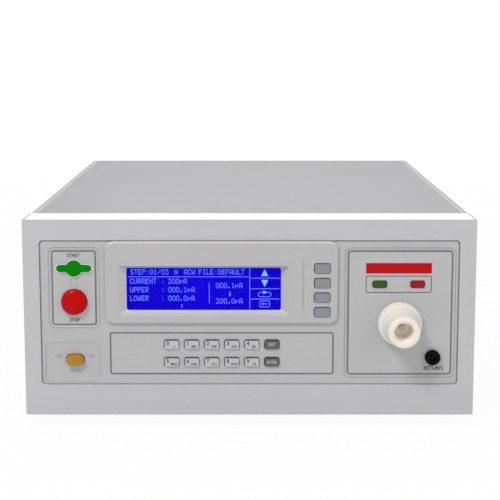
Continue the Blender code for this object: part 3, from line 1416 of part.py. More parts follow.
def make_inlet(black, glass):
    """The mains inlet with its pins, and above it the fuse drawer with its fuse."""
    half_width, half_height = INLET_BODY_WIDTH / 2, INLET_BODY_HEIGHT / 2
    back = REAR_FACE + GAP
    flange_top = FUSE_Z + FUSE_HEIGHT / 2 + INLET_RIM
    flange_bottom = INLET_Z - INLET_HEIGHT / 2
    flange = plate(
        "mains_inlet",
        [rounded_rectangle(INLET_WIDTH, flange_top - flange_bottom, INLET_CORNER, INLET_X,
                           (flange_top + flange_bottom) / 2, steps=2)],
        back, back + INLET_FLANGE,
    )
    body = box(
        "body",
        (INLET_X - half_width, behind(back - INLET_BODY_DEPTH), INLET_Z - half_height),
        (INLET_X + half_width, behind(back + INLET_FLANGE / 2), INLET_Z + half_height),
    )
    joined(flange, body)
    mouth = back + INLET_FLANGE
    chamfer = INLET_CAVITY_HEIGHT / 4
    w, h = INLET_CAVITY_WIDTH / 2, INLET_CAVITY_HEIGHT / 2
    cavity = plate(
        "cavity",
        [[(INLET_X - w, INLET_Z - h), (INLET_X + w, INLET_Z - h), (INLET_X + w, INLET_Z + h - chamfer),
          (INLET_X + w - chamfer, INLET_Z + h), (INLET_X - w + chamfer, INLET_Z + h),
          (INLET_X - w, INLET_Z + h - chamfer)]],
        mouth - INLET_CAVITY_DEPTH, mouth + GAP,
    )
    slot = box(
        "fuse_slot",
        (INLET_X - FUSE_WIDTH / 2 - KEY_GAP, behind(back - GAP), FUSE_Z - FUSE_HEIGHT / 2 - KEY_GAP),
        (INLET_X + FUSE_WIDTH / 2 + KEY_GAP, behind(mouth + GAP), FUSE_Z + FUSE_HEIGHT / 2 + KEY_GAP),
    )
    cut(flange, cavity, slot)
    pin_places = (
        (-INLET_PIN_SPREAD, -INLET_PIN_DROP), (0, INLET_EARTH_RISE), (INLET_PIN_SPREAD, -INLET_PIN_DROP),
    )
    floor = mouth - INLET_CAVITY_DEPTH
    pins = [
        box(
            "pin",
            (INLET_X + x - INLET_PIN_WIDTH / 2, behind(floor - GAP), INLET_Z + z - INLET_PIN_HEIGHT / 2),
            (INLET_X + x + INLET_PIN_WIDTH / 2, behind(floor + INLET_PIN_LENGTH),
             INLET_Z + z + INLET_PIN_HEIGHT / 2),
        )
        for x, z in pin_places
    ]
    joined(flange, *pins)
    paint(flange, black)
    drawer = box(
        "fuse_drawer",
        (INLET_X - FUSE_WIDTH / 2, behind(mouth - FUSE_LENGTH), FUSE_Z - FUSE_HEIGHT / 2),
        (INLET_X + FUSE_WIDTH / 2, behind(mouth + FUSE_DRAWER_PROUD), FUSE_Z + FUSE_HEIGHT / 2),
    )
    grip = box(
        "grip",
        (INLET_X - FUSE_GRIP_WIDTH / 2, behind(mouth), FUSE_Z - FUSE_GRIP_HEIGHT / 2),
        (INLET_X + FUSE_GRIP_WIDTH / 2, behind(mouth + FUSE_GRIP_REACH), FUSE_Z + FUSE_GRIP_HEIGHT / 2),
    )
    joined(drawer, grip)
    half_well = TUBE_RADIUS + GAP
    well_front = mouth - FUSE_LENGTH + FUSE_WALL
    well_back = well_front + TUBE_LENGTH + 2 * GAP
    well = box(
        "well",
        (INLET_X - half_well, behind(well_front), FUSE_Z - half_well),
        (INLET_X + half_well, behind(well_back), FUSE_Z + FUSE_HEIGHT),
    )
    cut(drawer, well)
    paint(drawer, black)
    tube = rod("fuse", TUBE_RADIUS, well_front + GAP, well_back - GAP, INLET_X, FUSE_Z, 12)
    paint(tube, glass)


def make_port(name, width, x, steel):
    """A D-shaped socket: a flange against the rear panel and a tapered shell filled to its face."""
    back = REAR_FACE + GAP

    def shell(inset):
        w, h, lean = width / 2 - inset, PORT_HEIGHT / 2 - inset, PORT_LEAN
        return [
            (x - w + lean, PORT_Z - h), (x + w - lean, PORT_Z - h), (x + w, PORT_Z + h), (x - w, PORT_Z + h),
        ]

    flange_width = width + 2 * PORT_SCREW_SPACE
    port = plate(
        name, [rounded_rectangle(flange_width, PORT_FLANGE_HEIGHT, PORT_CORNER, x, PORT_Z, steps=2)],
        back, back + PORT_SHEET,
    )
    nose = plate("shell", [shell(0)], back - PORT_TAIL, back + PORT_REACH)
    joined(port, nose)
    recess = plate("recess", [shell(PORT_SHEET)], back + PORT_REACH - PORT_RECESS, back + PORT_REACH + GAP)
    screws = [
        plate("jack", [circle(JACK_RADIUS, segments=6)], back + JACK_START, back + JACK_REACH,
              x + side * (width / 2 + PORT_SCREW_SPACE / 2), PORT_Z)
        for side in (-1, 1)
    ]
    cut(port, recess)
    joined(port, *screws)
    return paint(port, steel)


def make_ground(brass):
    """The ground post through the rear panel, with a loose washer and a ribbed nut on it."""
    hex_front = REAR_FACE + GAP
    hex_back = hex_front + POST_HEX_THICKNESS
    profile = [
        (REAR_INSIDE - POST_TAIL, 0),
        (REAR_INSIDE - POST_TAIL, POST_RADIUS),
        (POST_END - POST_EDGE, POST_RADIUS),
        (POST_END, POST_RADIUS - POST_EDGE),
        (POST_END, 0),
    ]
    post = turned("ground_post", profile, 16)
    post.location = (POST_X, FACE_Y, POST_Z)
    joined(post, plate("collar", [circle(POST_HEX, segments=6)], hex_front, hex_back, POST_X, POST_Z))
    paint(post, brass)
    washer_front = hex_back + GAP
    washer_back = washer_front + WASHER_THICKNESS
    bore = circle(POST_RADIUS + GAP, segments=16)
    washer = punched("ground_washer", circle(WASHER_RADIUS, segments=20), [bore],
                     washer_front, washer_back, POST_X, POST_Z)
    paint(washer, brass)
    ribs = []
    for i in range(2 * NUT_RIBS):
        radius = NUT_RADIUS if i % 2 else NUT_RADIUS - NUT_RIB_DEPTH
        angle = i * math.pi / NUT_RIBS
        ribs.append((radius * math.cos(angle), radius * math.sin(angle)))
    nut_front = washer_back + GAP
    nut = punched("ground_nut", ribs, [bore], nut_front, nut_front + NUT_THICKNESS, POST_X, POST_Z)
    paint(nut, brass)


def make_transformer(iron, tape):
    """The high-voltage transformer: a laminated core with two windows, and the coil on its middle limb."""
    x = RIGHT - CORE_FROM_RIGHT - CORE_WIDTH / 2
    front, back = CORE_FROM_FRONT, CORE_FROM_FRONT + CORE_STACK
    bottom = FLOOR_TOP + GAP
    z = bottom + CORE_HEIGHT / 2
    window_width = (CORE_WIDTH - 4 * CORE_LIMB) / 2
    window_height = CORE_HEIGHT - 2 * CORE_LIMB
    windows = [
        rectangle(window_width, window_height, side * (CORE_LIMB + window_width / 2), 0)
        for side in (-1, 1)
    ]
    core = punched("transformer_core", rectangle(CORE_WIDTH, CORE_HEIGHT, 0, 0), windows, front, back, x, z)
    lug_x = CORE_WIDTH / 2 + LUG_WIDTH / 2 - LUG_OVERLAP
    lugs = [
        box(
            "lug",
            (x + side * lug_x - LUG_WIDTH / 2, behind(front + LUG_INSET), bottom),
            (x + side * lug_x + LUG_WIDTH / 2, behind(back - LUG_INSET), bottom + LUG_THICKNESS),
        )
        for side in (-1, 1)
    ]
    joined(core, *lugs)
    paint(core, iron)
    half_width = CORE_LIMB + window_width - GAP
    half_height = window_height / 2 - GAP
    coil = box(
        "transformer_coil",
        (x - half_width, behind(front - COIL_OVERHANG), z - half_height),
        (x + half_width, behind(back + COIL_OVERHANG), z + half_height),
    )
    soften(coil, COIL_CORNER, 2)
    limb = box(
        "limb",
        (x - CORE_LIMB - GAP, behind(front - GAP), z - CORE_HEIGHT),
        (x + CORE_LIMB + GAP, behind(back + GAP), z + CORE_HEIGHT),
    )
    cut(coil, limb)
    paint(coil, tape)


def make_amplifier(aluminium, green):
    """The finned heat sink on the tray, and the amplifier board that stands against it."""
    left = LEFT + HEAT_SINK_FROM_LEFT
    front = HEAT_SINK_FROM_FRONT
    bottom = FLOOR_TOP + GAP
    pitch = (HEAT_SINK_HEIGHT - HEAT_SINK_FIN) / (HEAT_SINK_FINS - 1)
    outline = [(left + HEAT_SINK_BASE, bottom), (left + HEAT_SINK_BASE, bottom + HEAT_SINK_HEIGHT)]
    for fin in reversed(range(HEAT_SINK_FINS)):
        z = bottom + fin * pitch
        outline += [(left, z + HEAT_SINK_FIN), (left - HEAT_SINK_FIN_REACH, z + HEAT_SINK_FIN),
                    (left - HEAT_SINK_FIN_REACH, z), (left, z)]
    sink = plate("heat_sink", [outline], front, front + HEAT_SINK_LENGTH)
    paint(sink, aluminium)
    board_left = left + HEAT_SINK_BASE + GAP
    board_x = board_left + AMPLIFIER_BOARD_OFFSET
    board_z = bottom + AMPLIFIER_BOARD_LIFT
    board = box(
        "amplifier_board",
        (board_x, behind(front + AMPLIFIER_BOARD_OFFSET), board_z),
        (board_x + BOARD_THICKNESS, behind(front + HEAT_SINK_LENGTH - AMPLIFIER_BOARD_OFFSET),
         board_z + AMPLIFIER_BOARD_HEIGHT),
    )
    transistors = []
    for i in range(TRANSISTOR_COUNT):
        depth = front + TRANSISTOR_FROM_FRONT + i * TRANSISTOR_PITCH
        transistors.append(box(
            "transistor",
            (board_left, behind(depth), bottom + TRANSISTOR_RISE),
            (board_left + TRANSISTOR_THICKNESS, behind(depth + TRANSISTOR_WIDTH),
             bottom + TRANSISTOR_RISE + TRANSISTOR_HEIGHT),
        ))
    joined(board, *transistors)
    paint(board, green)


def make_control_board(green):
    """The main board on the tray's standoffs, with its larger components."""
    left = LEFT + CONTROL_BOARD_FROM_LEFT
    bottom = FLOOR_TOP + STANDOFF_HEIGHT + GAP
    front = CONTROL_BOARD_FROM_FRONT
    board = box(
        "control_board",
        (left, behind(front), bottom),
        (left + CONTROL_BOARD_WIDTH, behind(front + CONTROL_BOARD_LENGTH), bottom + BOARD_THICKNESS),
    )
    chips = []
    columns = (
        (0.2, CHIP_SIDE, CHIP_HEIGHT), (0.5, MODULE_SIDE, CHIP_HEIGHT), (0.8, CAPACITOR_SIDE, CAPACITOR_HEIGHT),
    )
    for column, side, height in columns:
        for row in (0.25, 0.7):
            x = left + column * CONTROL_BOARD_WIDTH
            depth = front + row * CONTROL_BOARD_LENGTH
            chips.append(box(
                "chip",
                (x - side / 2, behind(depth - side / 2), bottom + BOARD_THICKNESS / 2),
                (x + side / 2, behind(depth + side / 2), bottom + BOARD_THICKNESS + height),
            ))
    joined(board, *chips)
    return paint(board, green)


def main():
    clear_scene()
    panel_grey = finish("panel_grey", (0.50, 0.50, 0.51), 0.5)
    cover_grey = finish("cover_grey", (0.48, 0.47, 0.49), 0.45)
    plate_grey = finish("plate_grey", (0.52, 0.52, 0.53), 0.4)
    black = finish("black_plastic", (0.01, 0.01, 0.01), 0.4)
    board_green = finish("board_green", (0.01, 0.12, 0.05), 0.5)
    brass = finish("brass", (0.65, 0.45, 0.16), 0.3, 1.0)
    steel = finish("zinc_steel", (0.5, 0.5, 0.5), 0.35, 1.0)
    make_front_frame(panel_grey)
    make_front_panel(panel_grey)
    make_plates(plate_grey)
    make_display_bezel(panel_grey)
    make_screen(finish("clear", (0.8, 0.85, 1.0), 0.05), finish("screen_blue", (0.01, 0.0, 0.6), 0.3))
    make_keys(plate_grey, finish("dark_grey", (0.09, 0.09, 0.1), 0.5),
              finish("key_grey", (0.28, 0.3, 0.33), 0.5))
    make_start_button(finish("start_green", (0.01, 0.22, 0.01), 0.35))
    make_stop_button(finish("stop_red", (0.58, 0.0, 0.0), 0.2))
    make_power(finish("power_amber", (0.5, 0.22, 0.02), 0.35), black)
    make_boards(board_green)
    ivory = finish("ivory", (0.8, 0.76, 0.68), 0.35)
    make_terminal(ivory, brass)
    make_return(black, brass)
    make_lamps(finish("lamp_green", (0.03, 0.12, 0.01), 0.25), finish("lamp_red", (0.45, 0.01, 0.03), 0.25))
    make_top_cover(cover_grey)
    make_base_tray(steel)
    make_feet(finish("rubber", (0.02, 0.02, 0.02), 0.8))
    make_rear_panel(cover_grey)
    make_fan(black, steel)
    make_inlet(black, finish("fuse_glass", (0.7, 0.75, 0.75), 0.1))
    make_port("serial_port", SERIAL_WIDTH, SERIAL_X, steel)
    make_port("remote_port", REMOTE_WIDTH, REMOTE_X, steel)
    make_ground(brass)
    core_iron = finish("core_iron", (0.1, 0.1, 0.11), 0.6, 0.6)
    make_transformer(core_iron, finish("coil_tape", (0.5, 0.32, 0.05), 0.5))
    make_amplifier(finish("aluminium", (0.7, 0.7, 0.7), 0.35, 1.0), board_green)
    make_control_board(board_green)
    for obj in PIECES.objects:
        shade(obj)


main()
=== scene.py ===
# %% [markdown]
# # A bench hipot tester
#
# A hipot tester puts a high voltage across insulation and watches for a leak.
# This lesson dresses its CAD frame for a studio picture: the solids come from the
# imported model, and each cell adds one finish or one small piece.
# Lengths are metres, +Z is up and the front of the instrument faces -Y.

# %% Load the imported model
import math

import bmesh
import bpy
from mathutils import Matrix, Vector


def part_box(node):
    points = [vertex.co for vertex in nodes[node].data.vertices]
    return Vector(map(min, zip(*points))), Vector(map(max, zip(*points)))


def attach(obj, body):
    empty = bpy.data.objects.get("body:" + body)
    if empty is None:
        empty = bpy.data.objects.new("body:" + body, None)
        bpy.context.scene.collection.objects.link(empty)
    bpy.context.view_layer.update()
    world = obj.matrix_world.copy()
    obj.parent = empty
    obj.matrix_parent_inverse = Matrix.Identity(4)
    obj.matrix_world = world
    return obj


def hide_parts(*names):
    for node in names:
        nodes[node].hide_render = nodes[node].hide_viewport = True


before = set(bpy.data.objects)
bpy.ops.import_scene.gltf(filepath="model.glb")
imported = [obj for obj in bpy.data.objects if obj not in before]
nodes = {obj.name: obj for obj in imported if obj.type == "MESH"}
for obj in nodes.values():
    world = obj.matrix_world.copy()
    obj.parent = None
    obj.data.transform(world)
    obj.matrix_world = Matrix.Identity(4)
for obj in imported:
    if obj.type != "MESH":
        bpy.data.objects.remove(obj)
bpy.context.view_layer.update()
MM = 0.001


def added(name, data):
    """A new object, put in the scene."""
    made = bpy.data.objects.new(name, data)
    bpy.context.scene.collection.objects.link(made)
    return made


# %% [markdown]
# ## The camera
#
# The picture was taken from in front and well above the lid, with the camera almost
# level and the view slid downwards. A level camera with all of that slide would match
# it, but every other view would then sit off centre. So the camera tips down a little,
# and a small shift does the rest.

# %% Camera
FACE_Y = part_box("front_frame")[0].y
CAMERA_TILT = math.radians(7)
CAMERA_REACH = 864.9 * MM
CAMERA_HEIGHT = 317.3 * MM
CAMERA_SIDE = 1.2 * MM
CAMERA_LENS = 79.93
CAMERA_SHIFT = (-0.002, -0.1656)
NEAREST_SEEN = 0.01

camera_data = bpy.data.cameras.new("camera")
camera_data.lens = CAMERA_LENS
camera_data.shift_x, camera_data.shift_y = CAMERA_SHIFT
camera_data.clip_start = NEAREST_SEEN
camera = added("camera", camera_data)
camera.location = (CAMERA_SIDE, FACE_Y - CAMERA_REACH, CAMERA_HEIGHT)
camera.rotation_euler = (math.pi / 2 - CAMERA_TILT, 0, 0)
bpy.context.scene.camera = camera
print("camera stands", round(CAMERA_REACH, 3), "m in front of the face")

# %% [markdown]
# ## Shader sums in Python
#
# A Math node in the shader editor is one step of a sum. `Signal` wraps a socket, so that
# `1 - mask * 0.3` adds the nodes by itself. `Finish` is a material being mixed: its one
# `node` method adds any other node, with the settings first and the sockets after.

# %% Signals and finishes
class Signal:
    """A socket that takes part in Python sums."""

    def __init__(self, finish, socket):
        self.finish, self.socket = finish, socket

    def _sum(self, operation, first, second=None, clamp=False):
        values = {0: first} if second is None else {0: first, 1: second}
        return self.finish.node("ShaderNodeMath", values, operation=operation, use_clamp=clamp)

    def __add__(self, other): return self._sum("ADD", self, other)
    def __radd__(self, other): return self._sum("ADD", other, self)
    def __sub__(self, other): return self._sum("SUBTRACT", self, other)
    def __rsub__(self, other): return self._sum("SUBTRACT", other, self)
    def __mul__(self, other): return self._sum("MULTIPLY", self, other)
    def __rmul__(self, other): return self._sum("MULTIPLY", other, self)
    def __truediv__(self, other): return self._sum("DIVIDE", self, other)
    def __gt__(self, other): return self._sum("GREATER_THAN", self, other)
    def __lt__(self, other): return self._sum("LESS_THAN", self, other)
    def __abs__(self): return self._sum("ABSOLUTE", self)

    def most(self, other): return self._sum("MAXIMUM", self, other)
    def held(self): return self._sum("ADD", self, 0.0, clamp=True)


class Finish:
    """A procedural material, built round one Principled shader."""

    def __init__(self, name, color, roughness=0.5, **shader):
        self.material = bpy.data.materials.new(name)
        self.material.use_nodes = True
        self.tree = self.material.node_tree
        self.shader = self.tree.nodes["Principled BSDF"]
        self.color, self.roughness = color, roughness
        self.set("Base Color", (*color, 1.0))
        self.set("Roughness", roughness)
        self.set("Specular IOR Level", 0.2)
        for socket, value in shader.items():
            self.set(socket.replace("_", " "), value)

    def put(self, socket, value):
        if isinstance(value, Signal):
            self.tree.links.new(value.socket, socket)
        else:
            socket.default_value = value

    def set(self, socket, value):
        self.put(self.shader.inputs[socket], value)

    def node(self, kind, sockets=None, outlet=0, **settings):
        made = self.tree.nodes.new(kind)
        for name, value in settings.items():
            setattr(made, name, value)
        for key, value in (sockets or {}).items():
            self.put(made.inputs[key], value)
        return Signal(self, made.outputs[outlet])

    def place(self):
        """Where the surface is on the object, in metres."""
        return self.node("ShaderNodeTexCoord", outlet="Object")

    def axes(self, vector):
        return [self.node("ShaderNodeSeparateXYZ", {0: vector}, outlet=i) for i in range(3)]

    def facing(self):
        """The three parts of the surface's own direction."""
        return self.axes(self.node("ShaderNodeNewGeometry", outlet="Normal"))

    def noise(self, scale, detail, stretch=None):
        """Soft noise, with this many swings to the metre."""
        spot = self.place()
        if stretch:
            spot = self.node("ShaderNodeMapping", {"Vector": spot, "Scale": stretch})
        return self.node("ShaderNodeTexNoise",
                         {"Vector": spot, "Scale": scale, "Detail": detail})

    def blend(self, mask, first, second):
        """The first colour where the mask is 0 and the second where it is 1."""
        colors = [c if isinstance(c, Signal) else (*c, 1.0) for c in (first, second)]
        return self.node("ShaderNodeMix", {0: mask, 6: colors[0], 7: colors[1]},
                         outlet=2, data_type="RGBA")

    def bump(self, height, depth):
        """Relief of a real depth in metres."""
        self.set("Normal", self.node("ShaderNodeBump", {"Height": height, "Distance": depth}))


def shades(color, amount):
    """The colour a little darker and a little lighter."""
    return [tuple(min(1.0, c * (1 + side * amount)) for c in color) for side in (-1, 1)]


CLOUD_SCALE = 14
GLOSS_SWING = 0.12


def moulded(name, color, roughness, grain=1800, depth=0.00002, mottle=0.03, **shader):
    """Moulded or powder-coated stock: fine grain, and the faintest change of colour and gloss."""
    made = Finish(name, color, roughness, **shader)
    grain_height = made.noise(grain, 3)
    made.mottled = made.blend(made.noise(CLOUD_SCALE, 3), *shades(color, mottle))
    made.set("Base Color", made.mottled)
    made.set("Roughness", (roughness - GLOSS_SWING / 2) + GLOSS_SWING * grain_height)
    made.bump(grain_height, depth)
    return made


print("finishes can be mixed")

# %% [markdown]
# ## Painted and moulded greys
#
# The housing is three near-greys: a moulded front frame, a panel that sits in it, and a
# folded lid with a powder coat. The flat upper side of the front frame catches the
# studio light and reads almost white in the picture, so a painted highlight makes it paler
# where the surface looks up. A soft painted highlight runs along each of the lid's two
# folds. The bezel's funnel slopes carry painted light: they are paler than its face, the
# left one more than the right, and most of all near the lower edge of the screen. The
# direction and the place come from the surface, not from the camera.

# %% Greys of the housing
FRAME_GREY = (0.502, 0.496, 0.507)
PANEL_GREY = (0.460, 0.456, 0.464)
FILM_GREY = (0.465, 0.463, 0.468)
LID_GREY = (0.382, 0.376, 0.388)
PAINTED_TOP_HIGHLIGHT = (1.0, 1.0, 1.0)
PAINTED_FOLD_HIGHLIGHT = (0.62, 0.615, 0.625)
SLOPE_PAINTED_HIGHLIGHT = (0.64, 0.63, 0.59)
SLOPE_FOOT_PAINTED_LIGHT = (0.50, 0.49, 0.46)
LEFT_SLOPE_PAINTED_LIGHT = (0.585, 0.575, 0.535)
RIGHT_SLOPE_PAINTED_LIGHT = (0.500, 0.485, 0.460)

frame_finish = moulded("frame_plastic", FRAME_GREY, 0.48)
frame_across = frame_finish.axes(frame_finish.place())[0]
EDGE_LINE = 2.4 * MM
inside_edge = abs(frame_across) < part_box("front_frame")[1].x - EDGE_LINE
# Painted highlight: where the frame's top looks up, it is painted near white.
top_highlight_mask = (frame_finish.facing()[2] > 0.6) * inside_edge
frame_finish.set("Base Color", frame_finish.blend(top_highlight_mask, frame_finish.mottled, PAINTED_TOP_HIGHLIGHT))

panel_finish = moulded("panel_plastic", PANEL_GREY, 0.45, grain=2400, depth=0.000012)
bezel_finish = moulded("bezel_plastic", PANEL_GREY, 0.45, grain=2400, depth=0.000012)
glass_low, glass_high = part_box("display_window")
glass_x, glass_z = (glass_low.x + glass_high.x) / 2, (glass_low.z + glass_high.z) / 2
GLASS_WIDTH, GLASS_HEIGHT = 123.5 * MM, 34.4 * MM
SLOPE_SIDE, SLOPE_TOP, SLOPE_BOTTOM = 6.3 * MM, 1.9 * MM, 4.0 * MM
# Painted light on the funnel: its side slopes are painted paler than the face, the left more than
# the right, and upward-looking faces brighter towards the screen's lower edge.
bezel_x, _, bezel_z = bezel_finish.axes(bezel_finish.place())
look_x, _, look_z = bezel_finish.facing()
in_funnel = abs(bezel_x - glass_x) < GLASS_WIDTH / 2 + SLOPE_SIDE
rise = ((bezel_z - (glass_z - GLASS_HEIGHT / 2 - SLOPE_BOTTOM)) / SLOPE_BOTTOM).held()
bezel_color = bezel_finish.mottled
for mask, painted_slope_light in (
        ((look_x > 0.3) * in_funnel, LEFT_SLOPE_PAINTED_LIGHT),
        ((look_x < -0.3) * in_funnel, RIGHT_SLOPE_PAINTED_LIGHT),
        (look_z > 0.3, bezel_finish.blend(rise, SLOPE_FOOT_PAINTED_LIGHT, SLOPE_PAINTED_HIGHLIGHT))):
    bezel_color = bezel_finish.blend(mask, bezel_color, painted_slope_light)
bezel_finish.set("Base Color", bezel_color)
film_finish = moulded("plate_film", FILM_GREY, 0.38, grain=3200, depth=0.000006, mottle=0.02)
lid_finish = moulded("cover_paint", LID_GREY, 0.5, grain=1100, depth=0.00003, mottle=0.025)
# Painted highlight: a soft pale band along each fold of the lid, on its upper side.
FOLD_INSET = 5.0 * MM
FOLD_SOFTNESS = 1.7 * MM
lid_side = abs(lid_finish.axes(lid_finish.place())[0])
from_fold = abs(lid_side - (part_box("top_cover")[1].x - FOLD_INSET)) / FOLD_SOFTNESS
fold = (1 - from_fold).held() * (lid_finish.facing()[2] > 0.5)
lid_finish.set("Base Color", lid_finish.blend(fold, lid_finish.mottled, PAINTED_FOLD_HIGHLIGHT))
print("greys:", [finish.material.name for finish in (frame_finish, panel_finish, lid_finish)])

# %% [markdown]
# ## Keys and buttons
#
# A digit key is a light cap in a dark well. Its upper and left sides are seen in shade, so
# those two sides take a darker grey. The soft keys beside the screen are blue-grey rubber
# with the same shaded sides. Start, stop and power are glossy coloured plastic.

# %% Key and button finishes
def shaded_cap(name, color, shade_color, roughness=0.5):
    """A cap with painted shade: its upper and left sides are darker than its face."""
    made = moulded(name, color, roughness, grain=2600, depth=0.00001)
    across, _, up = made.facing()
    side = (up > 0.5).most(across < -0.5)
    made.set("Base Color", made.blend(side, color, shade_color))
    return made


digit_finish = shaded_cap("key_light", (0.49, 0.49, 0.50), (0.085, 0.085, 0.09))
soft_finish = shaded_cap("soft_key", (0.256, 0.260, 0.278), (0.10, 0.10, 0.105), 0.6)
dark_finish = shaded_cap("dark_key", (0.120, 0.120, 0.126), (0.030, 0.030, 0.034))


COAT_SHARE = 0.4


def glossy(name, color, roughness, gloss=0.12):
    """Polished plastic, with a thin coat over it."""
    made = moulded(name, color, roughness, grain=900, depth=0.00001, mottle=0.05)
    made.set("Coat Weight", COAT_SHARE * gloss)
    made.set("Specular IOR Level", gloss)
    return made


start_finish = glossy("start_green", (0.001, 0.208, 0.002), 0.35, 0.03)
stop_finish = glossy("stop_red", (0.49, 0.001, 0.001), 0.32, 0.07)
power_finish = glossy("power_amber", (0.435, 0.198, 0.020), 0.3)

IVORY = (0.80, 0.765, 0.690)
PAINTED_BORE_LIGHT = (1.0, 0.93, 0.86)
BORE_RADIUS = 8.0 * MM
BORE_EDGE = 1.0 * MM
ivory_finish = glossy("ivory", IVORY, 0.32)
terminal_low, terminal_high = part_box("hv_terminal")
ivory_x, ivory_y, ivory_z = ivory_finish.axes(ivory_finish.place())
beside = ivory_x - (terminal_low.x + terminal_high.x) / 2
above = ivory_z - (terminal_low.z + terminal_high.z) / 2
near_axis = beside * beside + above * above < BORE_RADIUS ** 2
# Painted light: inside the bore the ivory is painted paler, to lift the shade deep in it.
in_bore = near_axis * (ivory_y > terminal_low.y + BORE_EDGE)
ivory_finish.set("Base Color", ivory_finish.blend(in_bore, IVORY, PAINTED_BORE_LIGHT))
lamp_green_finish = glossy("lamp_green", (0.030, 0.092, 0.012), 0.2)
lamp_red_finish = glossy("lamp_red", (0.31, 0.006, 0.012), 0.2)
black_finish = moulded("black_plastic", (0.004, 0.004, 0.005), 0.42, grain=2000,
                       Specular_IOR_Level=0.06)
rubber_finish = moulded("rubber", (0.018, 0.018, 0.018), 0.8, grain=900, depth=0.00006)
print("button finishes mixed")

# %% [markdown]
# ## Metals and inner parts
#
# Zinc-plated sheet is drawn out in the rolling direction, so its noise is stretched.
# Brass is turned, so its rings run round the post. The sleeve in the return socket is dull
# and dark, and the pin in the ivory terminal is painted paler, as light against the shade of
# the bore. The transformer's core is a stack of varnished sheets, and a fine stripe along
# its depth shows the edges of the sheets.

# %% Metals, board, core and tape
STREAK_SWING = 0.16


def drawn_metal(name, color, roughness, stretch=None, grain=500):
    """Metal with fine streaks where its noise is stretched."""
    made = Finish(name, color, roughness, Metallic=1.0)
    streak = made.noise(grain, 2, stretch)
    made.set("Base Color", made.blend(streak, *shades(color, 0.12)))
    made.set("Roughness", (roughness - STREAK_SWING / 2) + STREAK_SWING * streak)
    made.bump(streak, 0.000008)
    return made


zinc_finish = drawn_metal("zinc_steel", (0.60, 0.60, 0.62), 0.34, (0.05, 1, 1))
port_finish = drawn_metal("port_steel", (0.66, 0.65, 0.62), 0.28, grain=300)
brass_finish = drawn_metal("brass", (0.72, 0.50, 0.20), 0.26, (1, 0.05, 1), 700)
dull_brass_finish = drawn_metal("dull_brass", (0.30, 0.24, 0.17), 0.5, (1, 0.05, 1), 700)
# Painted light: the pin's brass is pale, against the shade deep in the bore.
pale_brass_finish = drawn_metal("pale_brass", (0.64, 0.55, 0.45), 0.6, (1, 0.05, 1), 700)
aluminium_finish = drawn_metal("aluminium", (0.78, 0.78, 0.80), 0.36, (1, 0.04, 1))


def striped(name, color, dark, pitch, axis, share=0.25, roughness=0.55, **shader):
    """Fine parallel lines across one axis, as on stacked sheets or wound tape."""
    made = Finish(name, color, roughness, **shader)
    along = made.axes(made.place())[axis]
    phase = made.node("ShaderNodeMath", {0: along / pitch}, operation="FRACT")
    line = phase < share
    made.set("Base Color", made.blend(line, color, dark))
    made.bump(1 - line, 0.00008)
    return made


core_finish = striped("core_iron", (0.11, 0.11, 0.12), (0.04, 0.04, 0.045), 0.001, 1, Metallic=0.6)
tape_finish = striped("coil_tape", (0.52, 0.34, 0.06), (0.36, 0.22, 0.03), 0.009, 1, 0.06, 0.4)

BOARD_GREEN = (0.010, 0.110, 0.045)
board_finish = Finish("board", BOARD_GREEN, 0.42)
traces = board_finish.node("ShaderNodeTexBrick", {
    "Vector": board_finish.node("ShaderNodeMapping", {
        "Vector": board_finish.place(), "Rotation": (0, 0, math.radians(45))}),
    "Color1": (0.010, 0.125, 0.050, 1), "Color2": (0.008, 0.095, 0.040, 1),
    "Mortar": (0.030, 0.230, 0.090, 1), "Scale": 90, "Mortar Size": 0.03})
board_finish.set("Base Color", traces)
print("metals and inner finishes mixed")

# %% [markdown]
# ## The screen
#
# A blue screen gives off light, and the clear window in front of it only adds a
# reflection. Only the module's front glows, a little less towards its ends, and its back is
# a plain board. The window is nearly all alpha, so that the picture behind it stays sharp.

# %% Screen, window and ink
SCREEN_BLUE = (0.005, 0.001, 0.78)
screen_finish = Finish("screen_blue", SCREEN_BLUE, 0.8, Specular_IOR_Level=0.0)
screen_low, screen_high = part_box("lcd_module")
screen_middle = (screen_low + screen_high) / 2
across = screen_finish.axes(screen_finish.place())[0]
fall = abs(across - screen_middle.x) / (screen_high.x - screen_low.x)
glow = screen_finish.blend(fall.held(), SCREEN_BLUE, (0.002, 0.0, 0.42))
on_front = screen_finish.facing()[1] < -0.5
screen_finish.set("Base Color", screen_finish.blend(on_front, BOARD_GREEN, (0.002, 0.0, 0.05)))
screen_finish.set("Emission Color", screen_finish.blend(on_front, (0.0, 0.0, 0.0), glow))
screen_finish.set("Emission Strength", 1.0)

window_finish = Finish("window", (0.01, 0.01, 0.02), 0.06, Alpha=0.06, IOR=1.49)
smudge = window_finish.noise(40, 3)
window_finish.set("Roughness", 0.04 + 0.05 * smudge)


def lit(name, dim, bright):
    """Lit dots of the screen, a little uneven in their brightness."""
    made = Finish(name, dim, 0.4)
    made.set("Emission Color", made.blend(made.noise(300, 1), dim, bright))
    made.set("Emission Strength", 1.0)
    return made


dot_finish = lit("lit_dots", (0.100, 0.150, 0.92), (0.140, 0.200, 1.0))
arrow_finish = lit("lit_arrows", (0.15, 0.30, 0.95), (0.22, 0.40, 1.0))

CAP_START = 0.34
fuse_finish = Finish("fuse_glass", (0.80, 0.85, 0.85), 0.08)
fuse_low, fuse_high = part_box("fuse")
along_fuse = fuse_finish.axes(fuse_finish.place())[1]
from_middle = abs(along_fuse - (fuse_low.y + fuse_high.y) / 2)
capped = from_middle > (fuse_high.y - fuse_low.y) * CAP_START
fuse_finish.set("Base Color", fuse_finish.blend(capped, (0.55, 0.62, 0.62), (0.70, 0.69, 0.66)))
fuse_finish.set("Metallic", capped)


